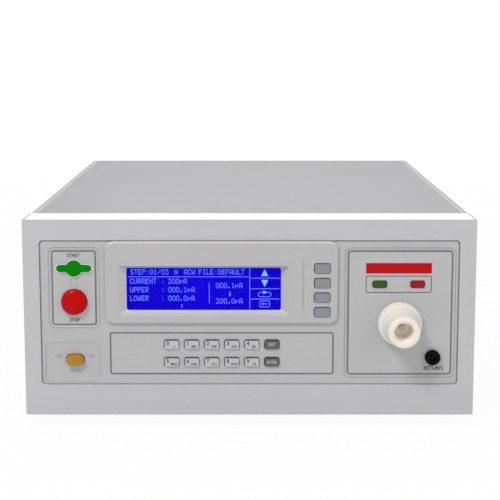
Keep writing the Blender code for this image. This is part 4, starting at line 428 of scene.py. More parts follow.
def ink(name, color, roughness=0.5, **shader):
    """A flat colour with the slightest unevenness of a screen print: printing ink, and also lines
    of painted shade and painted highlight.
    """
    made = Finish(name, color, roughness, **shader)
    speck = made.noise(900, 2)
    made.set("Base Color", made.blend(speck, *shades(color, 0.06)))
    return made


line_ink = ink("line_ink", (0.125, 0.122, 0.128))
dark_ink = ink("dark_ink", (0.045, 0.045, 0.050))
red_ink = ink("red_ink", (0.46, 0.003, 0.006), Specular_IOR_Level=0.1)
white_ink = ink("white_ink", (0.83, 0.86, 0.83))
key_ink = ink("key_ink", (0.50, 0.50, 0.52))
faint_ink = ink("faint_ink", (0.58, 0.58, 0.59))
shadow_ink = ink("shadow_ink", (0.34, 0.335, 0.345))
# The next three inks also paint light: the faded one is faint print and painted shade, the darker
# one painted shade, and the pale one a painted highlight.
faded_print_and_shade_ink = ink("faded_print_and_shade_ink", (0.385, 0.380, 0.390))
painted_shade_ink = ink("painted_shade_ink", (0.25, 0.246, 0.254))
painted_highlight_ink = ink("painted_highlight_ink", (0.62, 0.61, 0.62))
print("screen and inks mixed")

# %% [markdown]
# ## Each CAD node gets its finish
#
# A node whose shape is right keeps its mesh and only changes its material.

# %% Assign the finishes
finish_of = {
    frame_finish: ["front_frame"],
    panel_finish: ["front_panel"],
    bezel_finish: ["display_bezel"],
    film_finish: ["keypad_plate", "start_stop_plate", "output_plate"],
    lid_finish: ["top_cover", "rear_panel"],
    zinc_finish: ["base_tray", "fan_guard"],
    port_finish: ["serial_port", "remote_port"],
    window_finish: ["display_window"],
    screen_finish: ["lcd_module"],
    digit_finish: [f"key_{digit}" for digit in range(10)],
    dark_finish: ["exit_key", "enter_key"],
    soft_finish: [f"soft_key_{i}" for i in range(1, 5)],
    start_finish: ["start_button"],
    stop_finish: ["stop_button"],
    power_finish: ["power_button"],
    ivory_finish: ["hv_terminal", "hv_terminal_nut"],
    brass_finish: ["ground_post", "ground_washer", "ground_nut"],
    pale_brass_finish: ["hv_contact"],
    dull_brass_finish: ["return_contact"],
    black_finish: ["return_socket", "power_switch", "mains_inlet", "fan_frame", "fan_rotor",
                   "fuse_drawer"],
    lamp_green_finish: ["pass_lamp"],
    lamp_red_finish: ["fail_lamp"],
    board_finish: ["key_board", "start_stop_board", "amplifier_board", "control_board"],
    core_finish: ["transformer_core"],
    tape_finish: ["transformer_coil"],
    aluminium_finish: ["heat_sink"],
    rubber_finish: [name for name in nodes if name.endswith("_foot")],
    fuse_finish: ["fuse"],
}
for finish, names in finish_of.items():
    for name in names:
        node = nodes[name]
        if not node.material_slots:
            node.data.materials.append(finish.material)
        for material_slot in node.material_slots:
            material_slot.material = finish.material
dressed = [name for names in finish_of.values() for name in names]
print("dressed", len(dressed), "nodes; bare:", sorted(set(nodes) - set(dressed)))

# %% [markdown]
# ## Flat printed shapes
#
# Lines, labels and halos on the front are ink a few hundredths of a millimetre thick. A
# filled 2D curve with a little extrusion makes each one, because a curve takes an outline
# and its hole in one go. It is made a mesh, stood upright and laid on its plate.

# %% Helpers for print
INK = 0.05 * MM
INK_GAP = 0.00001
CORNER_STEPS = 4
SMALLEST_CORNER = 0.0002
UPRIGHT = Matrix.Rotation(math.pi / 2, 4, "X")


def arc(radius, x, z, angles):
    """Points of a circle at these angles."""
    return [(x + radius * math.cos(angle), z + radius * math.sin(angle)) for angle in angles]


def rounded(width, height, radius, x, z):
    """A rectangle with round corners."""
    points = []
    for corner in range(4):
        start = corner * math.pi / 2
        cx = x + math.copysign(width / 2 - radius, math.cos(start + math.pi / 4))
        cz = z + math.copysign(height / 2 - radius, math.sin(start + math.pi / 4))
        points += arc(radius, cx, cz, [start + step * math.pi / 2 / CORNER_STEPS
                                       for step in range(CORNER_STEPS + 1)])
    return points


def disc(radius, x, z, steps=40):
    turn = 2 * math.pi / steps
    return arc(radius, x, z, [i * turn for i in range(steps)])


def add_piece(name, mesh, finish, body="housing"):
    """A new piece with its finish, riding on a body."""
    if finish and not mesh.materials:
        mesh.materials.append(finish.material)
    piece = added(name, mesh)
    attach(piece, body)
    return piece


def plain_mesh(made):
    """The mesh of an object with its modifiers applied."""
    bpy.context.view_layer.update()
    evaluated = made.evaluated_get(bpy.context.evaluated_depsgraph_get())
    return bpy.data.meshes.new_from_object(evaluated)


def curve_mesh(name, data, placing):
    """A curve or text made a mesh, moved into place in its vertices."""
    guide = added(name, data)
    mesh = plain_mesh(guide)
    bpy.data.objects.remove(guide, do_unlink=True)
    mesh.transform(placing)
    shape = bmesh.new()
    shape.from_mesh(mesh)
    bmesh.ops.remove_doubles(shape, verts=shape.verts, dist=1e-7)
    bmesh.ops.recalc_face_normals(shape, faces=shape.faces)
    shape.to_mesh(mesh)
    shape.free()
    return mesh


def print_on(name, surface_y, outlines, finish, body="housing", thick=INK):
    """Outlines in X and Z, laid on an upright surface. A shape inside another is a hole."""
    curve = bpy.data.curves.new(name, "CURVE")
    curve.dimensions = "2D"
    curve.fill_mode = "BOTH"
    curve.extrude = thick / 2
    for outline in outlines:
        spline = curve.splines.new("POLY")
        spline.points.add(len(outline) - 1)
        for point, (x, z) in zip(spline.points, outline):
            point.co = (x, z, 0, 1)
        spline.use_cyclic_u = True
    placing = Matrix.Translation((0, surface_y - thick / 2 - INK_GAP, 0)) @ UPRIGHT
    return add_piece(name, curve_mesh(name, curve, placing), finish, body)


def ring(width, height, radius, line, x, z):
    """The two outlines of a rounded frame of the given line width."""
    inner_radius = max(radius - line, SMALLEST_CORNER)
    return [rounded(width, height, radius, x, z),
            rounded(width - 2 * line, height - 2 * line, inner_radius, x, z)]


def letter_on(name, surface_y, text, size, x, z, finish, body="housing",
              squeeze=1.0, bold=0.0):
    """A short word or number, centred on x and z. Bold is how far its outline grows."""
    words = bpy.data.curves.new(name, "FONT")
    words.body = text
    words.size = size
    words.align_x, words.align_y = "CENTER", "CENTER"
    words.extrude = INK / 2
    words.resolution_u = 3
    words.offset = bold
    placing = (Matrix.Translation((x, surface_y - INK / 2 - INK_GAP, z)) @ UPRIGHT
               @ Matrix.Diagonal((squeeze, 1, 1, 1)))
    return add_piece(name, curve_mesh(name, words, placing), finish, body)


def middle_of(name):
    low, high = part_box(name)
    return (low + high) / 2


print("print helpers ready")

# %% [markdown]
# ## Outlines of the panel and its plates
#
# Each plate on the real front has a dark line just inside its edge, and the panel has a
# paler line of painted shade where it meets the frame. They are frames of ink sized from the
# node. Two of the plates also lie in a shallow rim, whose fold is painted as a faint line of
# shade further out, and so are the sides of the power button's field. The bezel has a pale
# painted highlight along its top edge, a darker line of painted shadow along the upper fold
# of its funnel, and a faint line of painted shade for an upright groove beside its keys.

# %% Outlines
LINE = 0.75 * MM
# The panel's line is painted shade in its gap to the frame.
OUTLINES = {
    "front_panel": (3.0 * MM, 0.10 * MM, painted_shade_ink),
    "start_stop_plate": (2.0 * MM, 0.15 * MM, line_ink),
    "keypad_plate": (2.0 * MM, 0.15 * MM, line_ink),
    "output_plate": (2.6 * MM, 0.15 * MM, line_ink),
}
bezel_low, bezel_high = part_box("display_bezel")
BEZEL_CORNER = 6.0 * MM
bezel_left, bezel_right = bezel_low.x + BEZEL_CORNER, bezel_high.x - BEZEL_CORNER


def open_ring(width, height, radius, line, x, z):
    """A rounded frame as one outline, left open along its top where the bezel is."""
    sides = []
    for outline, inset in zip(ring(width, height, radius, line, x, z), (0, line)):
        corner, top = len(outline) // 4, z + height / 2 - inset
        round_panel = outline[corner:] + outline[:corner]
        sides.append([(bezel_left, top), *round_panel, (bezel_right, top)])
    return [sides[0] + sides[1][::-1]]


for name, (radius, inset, finish) in OUTLINES.items():
    low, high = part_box(name)
    width, height = high.x - low.x - 2 * inset, high.z - low.z - 2 * inset
    middle = (low + high) / 2
    shape_of = open_ring if name == "front_panel" else ring
    print_on(f"{name}_line", low.y,
             shape_of(width, height, radius, LINE, middle.x, middle.z), finish)


def stroke(name, surface_y, width, height, radius, x, z, finish):
    """One straight line of ink with round ends."""
    print_on(name, surface_y, [rounded(width, height, radius, x, z)], finish)


BEZEL_HIGHLIGHT = 0.8 * MM
FOLD_LINE, FOLD_SHORT = 0.7 * MM, 2 * MM
STROKE_END = 0.3 * MM
bezel_middle = (bezel_left + bezel_right) / 2
# Painted highlight along the bezel's top edge, and painted shadow under the upper fold of its
# funnel.
stroke("bezel_edge", bezel_low.y, bezel_right - bezel_left, BEZEL_HIGHLIGHT, STROKE_END,
       bezel_middle, bezel_high.z - BEZEL_HIGHLIGHT, painted_highlight_ink)
stroke("funnel_fold", bezel_low.y, GLASS_WIDTH + 2 * SLOPE_SIDE - FOLD_SHORT, FOLD_LINE,
       STROKE_END, glass_x, glass_z + GLASS_HEIGHT / 2 + SLOPE_TOP + FOLD_LINE / 2, painted_shade_ink)

RIM_LINE = 0.4 * MM
RIM_RADIUS = 4.5 * MM
RIMS = {"start_stop_plate": 2.8 * MM, "output_plate": 2.6 * MM}
panel_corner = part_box("front_panel")[0]
panel_y = panel_corner.y
# Painted shade: a faint dark line where each rim folds.
for name, outset in RIMS.items():
    low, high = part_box(name)
    middle = (low + high) / 2
    print_on(f"{name}_rim", panel_y,
             ring(high.x - low.x + 2 * outset, high.z - low.z + 2 * outset, RIM_RADIUS, RIM_LINE,
                  middle.x, middle.z), painted_shade_ink)

FIELD_LEFT, FIELD_WIDTH = 3.3 * MM, 43.4 * MM
FIELD_RISE, FIELD_HEIGHT = 1.8 * MM, 32.7 * MM
FIELD_LINE, FINE_END = 0.5 * MM, 0.2 * MM
# Painted shade along the two sides of the power button's field.
field_z = panel_corner.z + FIELD_RISE + FIELD_HEIGHT / 2
for side, offset in (("left", -FIELD_LINE / 2), ("right", FIELD_WIDTH + FIELD_LINE / 2)):
    stroke(f"power_field_{side}", panel_y, FIELD_LINE, FIELD_HEIGHT - 2 * RIM_RADIUS, FINE_END,
           panel_corner.x + FIELD_LEFT + offset, field_z, faded_print_and_shade_ink)

GROOVE_FROM_RIGHT, GROOVE_DROP = 28.0 * MM, 1.2 * MM
GROOVE_LENGTH, GROOVE_WIDTH, GROOVE_END = 41 * MM, 1.4 * MM, 0.6 * MM
# Painted shade of an upright groove beside the soft keys.
stroke("bezel_groove", bezel_low.y, GROOVE_WIDTH, GROOVE_LENGTH, GROOVE_END,
       bezel_high.x - GROOVE_FROM_RIGHT, (bezel_low.z + bezel_high.z) / 2 - GROOVE_DROP, faded_print_and_shade_ink)
print("outlined:", ", ".join(OUTLINES))

# %% [markdown]
# ## Start, stop and power
#
# The green button stands in a pale halo that follows its wings. A narrow strip joins it to
# the round stop button, and each has its word. Such plain words are as common as ON and OFF.

# %% Halo, strip and words
plate_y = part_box("start_stop_plate")[0].y
start_at, stop_at = middle_of("start_button"), middle_of("stop_button")

START_RADIUS = 6.2 * MM
WING_SPAN = 27.6 * MM
WING_HEIGHT = 5.0 * MM
STOP_RADIUS = 10.3 * MM
KEY_WELL = 0.45 * MM
START_HALO, STOP_HALO = 1.0 * MM, 0.9 * MM
WING_STEPS = 6


def winged(grow):
    """The outline of the start button, grown on all sides."""
    radius, half_span, half_wing = START_RADIUS + grow, WING_SPAN / 2 + grow, WING_HEIGHT / 2 + grow
    root = math.asin(half_wing / radius)
    points = []
    for side in (0, math.pi):
        tip = math.copysign(half_span - half_wing, math.cos(side))
        points += arc(half_wing, start_at.x + tip, start_at.z,
                      [side - math.pi / 2 + step * math.pi / WING_STEPS
                       for step in range(WING_STEPS + 1)])
        points += arc(radius, start_at.x, start_at.z,
                      [side + root + step * (math.pi - 2 * root) / (2 * WING_STEPS)
                       for step in range(2 * WING_STEPS + 1)])
    return points


print_on("start_halo", plate_y, [winged(START_HALO), winged(KEY_WELL)], white_ink)
print_on("stop_halo", plate_y, [disc(STOP_RADIUS + grow, stop_at.x, stop_at.z)
                                for grow in (STOP_HALO, KEY_WELL)], faint_ink)
STRIP_HALF, STRIP_LINE = 2.6 * MM, 0.5 * MM
strip_top = start_at.z - START_RADIUS - 1.3 * MM
strip_bottom = stop_at.z + STOP_RADIUS + 1.2 * MM
for side, offset in (("left", -STRIP_HALF), ("right", STRIP_HALF)):
    stroke(f"strip_{side}", plate_y, STRIP_LINE, strip_top - strip_bottom, FINE_END,
           start_at.x + offset, (strip_top + strip_bottom) / 2, shadow_ink)
WORD_SIZE, WORD_BOLD = 3.9 * MM, 0.09 * MM
for word, at, rise in (("START", start_at, 10.6 * MM), ("STOP", stop_at, -15.0 * MM)):
    letter_on(f"{word.lower()}_word", plate_y, word, WORD_SIZE, at.x, at.z + rise,
              dark_ink, squeeze=0.85, bold=WORD_BOLD)

POWER_WORD_SIZE = 2.9 * MM
POWER_WORDS = {"OFF": (-13.4 * MM, 2.6 * MM), "ON": (13.0 * MM, 2.6 * MM),
               "POWER": (0, -9.8 * MM)}
power_at = middle_of("power_button")
for word, (aside, rise) in POWER_WORDS.items():
    letter_on(f"{word.lower()}_word", panel_y, word, POWER_WORD_SIZE, power_at.x + aside,
              power_at.z + rise, faded_print_and_shade_ink, squeeze=0.9)
print("start, stop and power are labelled")

# %% [markdown]
# ## Digits on the keys
#
# A digit rides on its own key, so that it goes in when the key is pressed. Small letters
# stand beside it, as on a telephone. The two dark keys carry pale words.

# %% Key legends
KEY_LETTERS = ("-./", "ABC", "DEF", "GHI", "JKL", "MNO", "PQR", "STU", "VWX", "YZ")
DIGIT_SIZE, DIGIT_ASIDE, DIGIT_RISE, DIGIT_BOLD = 4.4 * MM, 3.1 * MM, 0.9 * MM, 0.1 * MM
LETTER_SIZE, LETTER_ASIDE, LETTER_DROP, LETTER_BOLD = 2.8 * MM, 1.9 * MM, 1.5 * MM, 0.06 * MM
KEY_WORD_SIZE, KEY_WORD_BOLD = 3.3 * MM, 0.05 * MM
for digit, letters in enumerate(KEY_LETTERS):
    name = f"key_{digit}"
    cap, cap_y = middle_of(name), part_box(name)[0].y
    letter_on(f"{name}_digit", cap_y, str(digit), DIGIT_SIZE, cap.x - DIGIT_ASIDE,
              cap.z + DIGIT_RISE, dark_ink, name, squeeze=0.9, bold=DIGIT_BOLD)
    letter_on(f"{name}_letters", cap_y, letters, LETTER_SIZE, cap.x + LETTER_ASIDE,
              cap.z - LETTER_DROP, dark_ink, name, squeeze=0.85, bold=LETTER_BOLD)

for name, word in (("exit_key", "EXIT"), ("enter_key", "ENTER")):
    cap, cap_y = middle_of(name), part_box(name)[0].y
    letter_on(f"{name}_word", cap_y, word, KEY_WORD_SIZE, cap.x, cap.z, key_ink, name,
              squeeze=0.8, bold=KEY_WORD_BOLD)
print("keys carry their digits")

# %% [markdown]
# ## The output plate
#
# A plain red strip lies above the frame round the two lamps. The real strip carries a
# warning, which is left off this part, so it stays bare. The return socket has its word.

# %% Strip, lamp frame and word
RED_WIDTH, RED_HEIGHT, RED_CORNER, RED_RISE = 52.3 * MM, 8.5 * MM, 0.5 * MM, 13.0 * MM
LAMP_FRAME = (52.6 * MM, 14.0 * MM, 1.6 * MM, 0.7 * MM)  # width, height, corner and line
output_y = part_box("output_plate")[0].y
lamp_middle = (middle_of("pass_lamp") + middle_of("fail_lamp")) / 2
stroke("red_strip", output_y, RED_WIDTH, RED_HEIGHT, RED_CORNER,
       lamp_middle.x, lamp_middle.z + RED_RISE, red_ink)
print_on("lamp_frame", output_y, ring(*LAMP_FRAME, lamp_middle.x, lamp_middle.z), line_ink)

RETURN_SIZE, RETURN_ASIDE, RETURN_DROP = 4.5 * MM, 0.8 * MM, 9.2 * MM
return_at = middle_of("return_socket")
letter_on("return_word", output_y, "RETURN", RETURN_SIZE, return_at.x + RETURN_ASIDE,
          return_at.z - RETURN_DROP, dark_ink, squeeze=0.92, bold=WORD_BOLD)
print("output plate printed")

# %% [markdown]
# ## The dot-matrix picture
#
# The screen is a grid of about 240 by 64 dots. Its figures use a plain font of five by seven
# dots, in which each byte is one column. The lit dots become points, and Geometry Nodes
# puts one small tile on each, because that is how the real screen repeats.

# %% Font of five by seven dots
FONT = {
    "0": "3E4141413E", "1": "00427F4000", "2": "4261514946", "3": "2141454B31",
    ":": "0000240000", "/": "2010080402", ".": "0060600000", "u": "7C10100C10",
    "A": "7E1111117E", "C": "3E41414122", "D": "7F4141221C", "E": "7F49494941",
    "F": "7F09090901", "I": "00417F4100", "L": "7F40404040", "N": "7F0408107F",
    "O": "3E4141413E", "P": "7F09090906", "R": "7F09192946", "S": "4649494931",
    "T": "01017F0101", "U": "3F4040403F", "W": "3F4038403F", "G": "3E4149497A",
    "H": "7F0808087F", "M": "7F020C027F",
}
SCREEN_COLUMNS, SCREEN_ROWS = 242, 64
DOT, DOT_ROW = GLASS_WIDTH / SCREEN_COLUMNS, GLASS_HEIGHT / SCREEN_ROWS
DOT_STEP_Z = DOT * 1.2
LETTER_PITCH = 6.08
TILE_SHARE = 0.92
screen_left = glass_x - GLASS_WIDTH / 2
screen_top = glass_z + GLASS_HEIGHT / 2
MODULE_Y = screen_low.y


def dots_of(text, column, row):
    """The lit dots of a word whose first dot is at this column and row of the grid."""
    for place, letter in enumerate(text):
        columns = bytes.fromhex(FONT.get(letter, "0000000000"))
        for i, bits in enumerate(columns):
            for j in range(7):
                if bits >> j & 1:
                    yield (screen_left + (column + place * LETTER_PITCH + i + 0.5) * DOT,
                           screen_top - row * DOT_ROW - (j + 0.5) * DOT_STEP_Z)


ROWS = [
    ("STEP:01/03", 6, 3), ("N", 75, 3), ("ACW", 90, 3), ("FILE:DEFAULT", 113, 3),
    ("CURRENT", 5, 17), (":", 54, 17), ("200uA", 65, 17),
    ("UPPER", 5, 30), (":", 54, 30), ("000.1uA", 65, 30),
    ("LOWER", 5, 43), (":", 54, 43), ("000.0uA", 65, 43),
    ("000.1uA", 140, 23.6), ("200.0uA", 140, 47.2),
]
lit_dots = [dot for text, column, row in ROWS for dot in dots_of(text, column, row)]
print("lit dots:", len(lit_dots))

# %% [markdown]
# ## A tree that copies a piece to points
#
# The tree takes points, a piece, a size and a finish. It puts the piece on every point, makes
# the copies real and gives them the finish. The result is kept as one plain mesh.

# %% Geometry Nodes that copy a piece to points
def copies_at(name, points, template, finish):
    """One piece with the template at each point, made by a Geometry Nodes tree."""
    cloud_mesh = bpy.data.meshes.new(name + "_points")
    cloud_mesh.from_pydata(points, [], [])
    carrier = added(name + "_points", cloud_mesh)
    tile = added(name + "_tile", template)

    tree = bpy.data.node_groups.new(name, "GeometryNodeTree")
    tree.interface.new_socket("Points", in_out="INPUT", socket_type="NodeSocketGeometry")
    size = tree.interface.new_socket("Size", in_out="INPUT", socket_type="NodeSocketFloat")
    piece = tree.interface.new_socket("Piece", in_out="INPUT", socket_type="NodeSocketObject")
    coat = tree.interface.new_socket("Finish", in_out="INPUT", socket_type="NodeSocketMaterial")
    tree.interface.new_socket("Copies", in_out="OUTPUT", socket_type="NodeSocketGeometry")
    add, link = tree.nodes.new, tree.links.new
    entry, leave = add("NodeGroupInput"), add("NodeGroupOutput")
    info, spread = add("GeometryNodeObjectInfo"), add("GeometryNodeInstanceOnPoints")
    real, dress = add("GeometryNodeRealizeInstances"), add("GeometryNodeSetMaterial")
    link(entry.outputs["Points"], spread.inputs["Points"])
    link(entry.outputs["Piece"], info.inputs["Object"])
    link(info.outputs["Geometry"], spread.inputs["Instance"])
    link(entry.outputs["Size"], spread.inputs["Scale"])
    link(spread.outputs["Instances"], real.inputs["Geometry"])
    link(real.outputs["Geometry"], dress.inputs["Geometry"])
    link(entry.outputs["Finish"], dress.inputs["Material"])
    link(dress.outputs["Geometry"], leave.inputs["Copies"])

    modifier = carrier.modifiers.new("copies", "NODES")
    modifier.node_group = tree
    modifier[size.identifier] = 1.0
    modifier[piece.identifier] = tile
    modifier[coat.identifier] = finish.material
    mesh = plain_mesh(carrier)
    carrier.modifiers.clear()
    for used in (carrier, tile):
        bpy.data.objects.remove(used, do_unlink=True)
    return add_piece(name, mesh, None, "housing")


def block(name, size):
    """A small block round the origin."""
    shape = bmesh.new()
    bmesh.ops.create_cube(shape, size=1)
    bmesh.ops.scale(shape, vec=size, verts=shape.verts)
    mesh = bpy.data.meshes.new(name)
    shape.to_mesh(mesh)
    shape.free()
    return mesh


DOT_THICK = 0.04 * MM
tile = block("dot", (DOT * TILE_SHARE, DOT_THICK, DOT_STEP_Z * TILE_SHARE))
dot_y = MODULE_Y - DOT_THICK / 2 - INK_GAP
copies_at("screen_dots", [(x, dot_y, z) for x, z in lit_dots], tile, dot_finish)
print("screen dots placed on the module")

# %% [markdown]
# ## Lines and signs on the screen
#
# Rules divide the screen into a header, a field and a column of four signs: up, down, next
# and enter. They line up with the four keys beside the screen.

# %% Screen lines and signs
def dot_box(left, top, right, bottom):
    """A rectangle in dots, from the screen's upper left."""
    x0, x1 = screen_left + left * DOT, screen_left + right * DOT
    z0, z1 = screen_top - top * DOT_ROW, screen_top - bottom * DOT_ROW
    return [(x0, z1), (x1, z1), (x1, z0), (x0, z0)]


def dot_points(points):
    return [(screen_left + u * DOT, screen_top - v * DOT_ROW) for u, v in points]


def sign(name, *outlines, finish=dot_finish):
    print_on(name, MODULE_Y, list(outlines), finish, "housing", DOT_THICK)


sign("header_rule", dot_box(2, 13.9, 191, 14.8))
sign("column_rule", dot_box(192.5, 0.8, 193.5, 63.6))
for i, row in enumerate((16, 32, 47.7)):
    sign(f"cell_rule_{i + 1}", dot_box(194.2, row, 239.5, row + 0.9))
sign("field_rule", dot_box(129, 23.4, 130, 55.2))
sign("up_sign", dot_points([(211, 13.3), (222, 13.3), (216.5, 2.8)]), finish=arrow_finish)
sign("down_sign", dot_points([(211, 19.2), (216.5, 29.6), (222, 19.2)]), finish=arrow_finish)
loop_middle = dot_points([(216.5, 41.3)])[0]
sign("loop_sign", *ring(21 * DOT, 8 * DOT, 3.9 * DOT, 1.0 * DOT, *loop_middle))
sign("loop_arrow", dot_points([(214, 35.1), (214, 40.8), (221, 38)]), finish=arrow_finish)
enter_middle = dot_points([(216.5, 55.6)])[0]
sign("enter_sign", *ring(17 * DOT, 10.5 * DOT, 2.5 * DOT, 1.0 * DOT, *enter_middle))
sign("enter_arrow", dot_points([(211, 55.6), (214.5, 57.9), (214.5, 56.1), (222, 56.1),
                                (222, 55.1), (214.5, 55.1), (214.5, 53.3)]))
sign("range_arrow", dot_points([(161.3, 36.4), (161.3, 41.1), (159.8, 41.1), (162, 44.4),
                                (164.2, 41.1), (162.7, 41.1), (162.7, 36.4)]))
sign("cursor", dot_box(85.5, 56.5, 87, 61.3))
print("screen signs placed")

# %% [markdown]
# ## Small fasteners and contacts at the rear
#
# The rear panel is held by pan-head screws with a cross recess. The head is a turned dome
# with the cross cut out of it, and Geometry Nodes puts it at each place. The two ports
# get their rows of contact holes the same way.

# %% Screw heads
def turned_mesh(name, profile, segments):
    """A profile of (depth, radius) points turned about Y, closed at both ends."""
    shape = bmesh.new()
    rings = []
    for depth, radius in profile:
        if radius == 0:
            rings.append([shape.verts.new((0, depth, 0))] * segments)
        else:
            rings.append([shape.verts.new((radius * math.cos(2 * math.pi * i / segments), depth,
                                           radius * math.sin(2 * math.pi * i / segments)))
                          for i in range(segments)])
    for ring_a, ring_b in zip(rings, rings[1:]):
        for i in range(segments):
            j = (i + 1) % segments
            corners = []
            for corner in (ring_a[i], ring_a[j], ring_b[j], ring_b[i]):
                if corner not in corners:
                    corners.append(corner)
            if len(corners) > 2:
                shape.faces.new(corners)
    bmesh.ops.recalc_face_normals(shape, faces=shape.faces)
    mesh = bpy.data.meshes.new(name)
    shape.to_mesh(mesh)
    shape.free()
    return mesh


HEAD_SIDES = 20
CROSS_SLOT = 0.28
CROSS_RISE = 1.05


def screw_head(radius, height, cross):
    """A domed head with a cross recess, its seat in the plane y = 0 and its top towards +Y."""
    leans = [step * math.pi / 10 for step in range(1, 5)]
    dome = [(height * math.sin(lean), radius * math.cos(lean)) for lean in leans]
    profile = [(0, 0), (0, radius), *dome, (height, 0)]
    head = added("head", turned_mesh("head", profile, HEAD_SIDES))
    cutters = []
    for size in ((cross, height, cross * CROSS_SLOT), (cross * CROSS_SLOT, height, cross)):
        cutter = added("cutter", block("cutter", size))
        cutter.location = (0, height * CROSS_RISE, 0)
        modifier = head.modifiers.new("cross", "BOOLEAN")
        modifier.operation, modifier.solver, modifier.object = "DIFFERENCE", "EXACT", cutter
        cutters.append(cutter)
    mesh = plain_mesh(head)
    for used in (head, *cutters):
        bpy.data.objects.remove(used, do_unlink=True)
    return mesh


rear_low, rear_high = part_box("rear_panel")
rear_y = rear_high.y
SCREW_INSET = 6.5 * MM
INLET_SCREW_INSET = 4.6 * MM
PANEL_HEAD = (2.8 * MM, 1.7 * MM, 3.0 * MM)  # radius, height and cross
INLET_HEAD = (2.6 * MM, 1.4 * MM, 2.8 * MM)
GUARD_HEAD = (3.4 * MM, 2.0 * MM, 3.6 * MM)
left_x, right_x = rear_low.x + SCREW_INSET, rear_high.x - SCREW_INSET
low_z, high_z = rear_low.z + SCREW_INSET, rear_high.z - SCREW_INSET
rear_screws = [(x, rear_y, z) for x in (left_x, 0.0, right_x) for z in (low_z, high_z)]
rear_screws += [(x, rear_y, (low_z + high_z) / 2) for x in (left_x, right_x)]
copies_at("rear_panel_screws", rear_screws, screw_head(*PANEL_HEAD), zinc_finish)

inlet_low, inlet_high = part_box("mains_inlet")
inlet_z = (inlet_low.z + inlet_high.z) / 2
inlet_screws = [(x, inlet_high.y, inlet_z)
                for x in (inlet_low.x + INLET_SCREW_INSET, inlet_high.x - INLET_SCREW_INSET)]
copies_at("inlet_screws", inlet_screws, screw_head(*INLET_HEAD), zinc_finish)
print("screws:", len(rear_screws) + len(inlet_screws))

# %% [markdown]
# ## The fan guard
#
# The guard is round wire: four rings on two crossed spokes, which end in loops for the
# screws. The node has the same wires with few sides, and this finer piece stands for it.

# %% Wires of the guard
guard_low, guard_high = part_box("fan_guard")
fan_at = (guard_low + guard_high) / 2
WIRE_RADIUS = 1.2 * MM
OUTER_RING, RING_COUNT = 37 * MM, 4
LOOP_RADIUS = 3.8 * MM
SCREW_REACH = 71.5 * MM / 2
ring_y, spoke_y = guard_high.y - WIRE_RADIUS, guard_low.y + WIRE_RADIUS


def hoop(radius, y, x=0.0, z=0.0, steps=72):
    """A circle of wire round a place in the guard."""
    return [(fan_at.x + u, y, fan_at.z + v) for u, v in disc(radius, x, z, steps)]


def wire_piece(name, hoops, rods, radius, finish):
    """Closed hoops and straight rods of one round wire, as one mesh."""
    curve = bpy.data.curves.new(name, "CURVE")
    curve.dimensions = "3D"
    curve.bevel_depth, curve.bevel_resolution = radius, 2
    curve.use_fill_caps = True
    for route in hoops + rods:
        spline = curve.splines.new("POLY")
        spline.points.add(len(route) - 1)
        for point, place in zip(spline.points, route):
            point.co = (*place, 1)
        spline.use_cyclic_u = route in hoops
    mesh = curve_mesh(name, curve, Matrix.Identity(4))
    mesh.polygons.foreach_set("use_smooth", [True] * len(mesh.polygons))
    return add_piece(name, mesh, finish, "housing")


corners = [(sx * SCREW_REACH, sz * SCREW_REACH) for sx in (-1, 1) for sz in (-1, 1)]
rings = [hoop(OUTER_RING * (i + 1) / RING_COUNT, ring_y) for i in range(RING_COUNT)]
loops = [hoop(LOOP_RADIUS, spoke_y, x, z, 28) for x, z in corners]
inner = SCREW_REACH - LOOP_RADIUS / math.sqrt(2)
spokes = [[(fan_at.x - inner, spoke_y, fan_at.z - side * inner),
           (fan_at.x + inner, spoke_y, fan_at.z + side * inner)] for side in (-1, 1)]
guard = wire_piece("guard_wires", rings + loops, spokes, WIRE_RADIUS, zinc_finish)
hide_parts("fan_guard")

guard_screws = [(fan_at.x + x, spoke_y + 0.7 * WIRE_RADIUS, fan_at.z + z) for x, z in corners]
copies_at("fan_guard_screws", guard_screws, screw_head(*GUARD_HEAD), zinc_finish)
print("guard rings:", len(rings), "screws:", len(guard_screws))

# %% [markdown]
# ## Contacts of the two ports
#
# A port's contacts stand in two rows, the upper one longer by one. Both ports share a pitch.

# %% Contacts in the two ports
CONTACT_PITCH, ROW_GAP = 2.77 * MM, 2.84 * MM
CONTACT_REACH = 5.1 * MM
CONTACT_PROFILE = [(0, 0), (0, 0.75 * MM), (0.25 * MM, 0.62 * MM), (0.25 * MM, 0)]
CONTACT_SIDES = 12


def contact_rows(name, counts):
    """Points of the contact rows, in the recess of a port."""
    low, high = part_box(name)
    x, z = (low.x + high.x) / 2, (low.z + high.z) / 2
    for row, count in enumerate(counts):
        for i in range(count):
            yield (x + (i - (count - 1) / 2) * CONTACT_PITCH, rear_y + CONTACT_REACH,
                   z + ROW_GAP * (0.5 - row))


contact = turned_mesh("contact", CONTACT_PROFILE, CONTACT_SIDES)
for name, counts in (("serial_port", (5, 4)), ("remote_port", (8, 7))):
    points = list(contact_rows(name, counts))
    copies_at(f"{name}_contacts", points, contact.copy(), brass_finish)
    print(name, "contacts:", len(points))

# %% [markdown]
# ## Floor, light and background
#
# The picture has a white ground and soft light from above and in front. The floor shows
# white to the camera but keeps a faint shadow near the instrument, and further out it glows
# as much as the background, so that no horizon shows. The lamps are large and weak, so that
# a colour renders about as it is written.

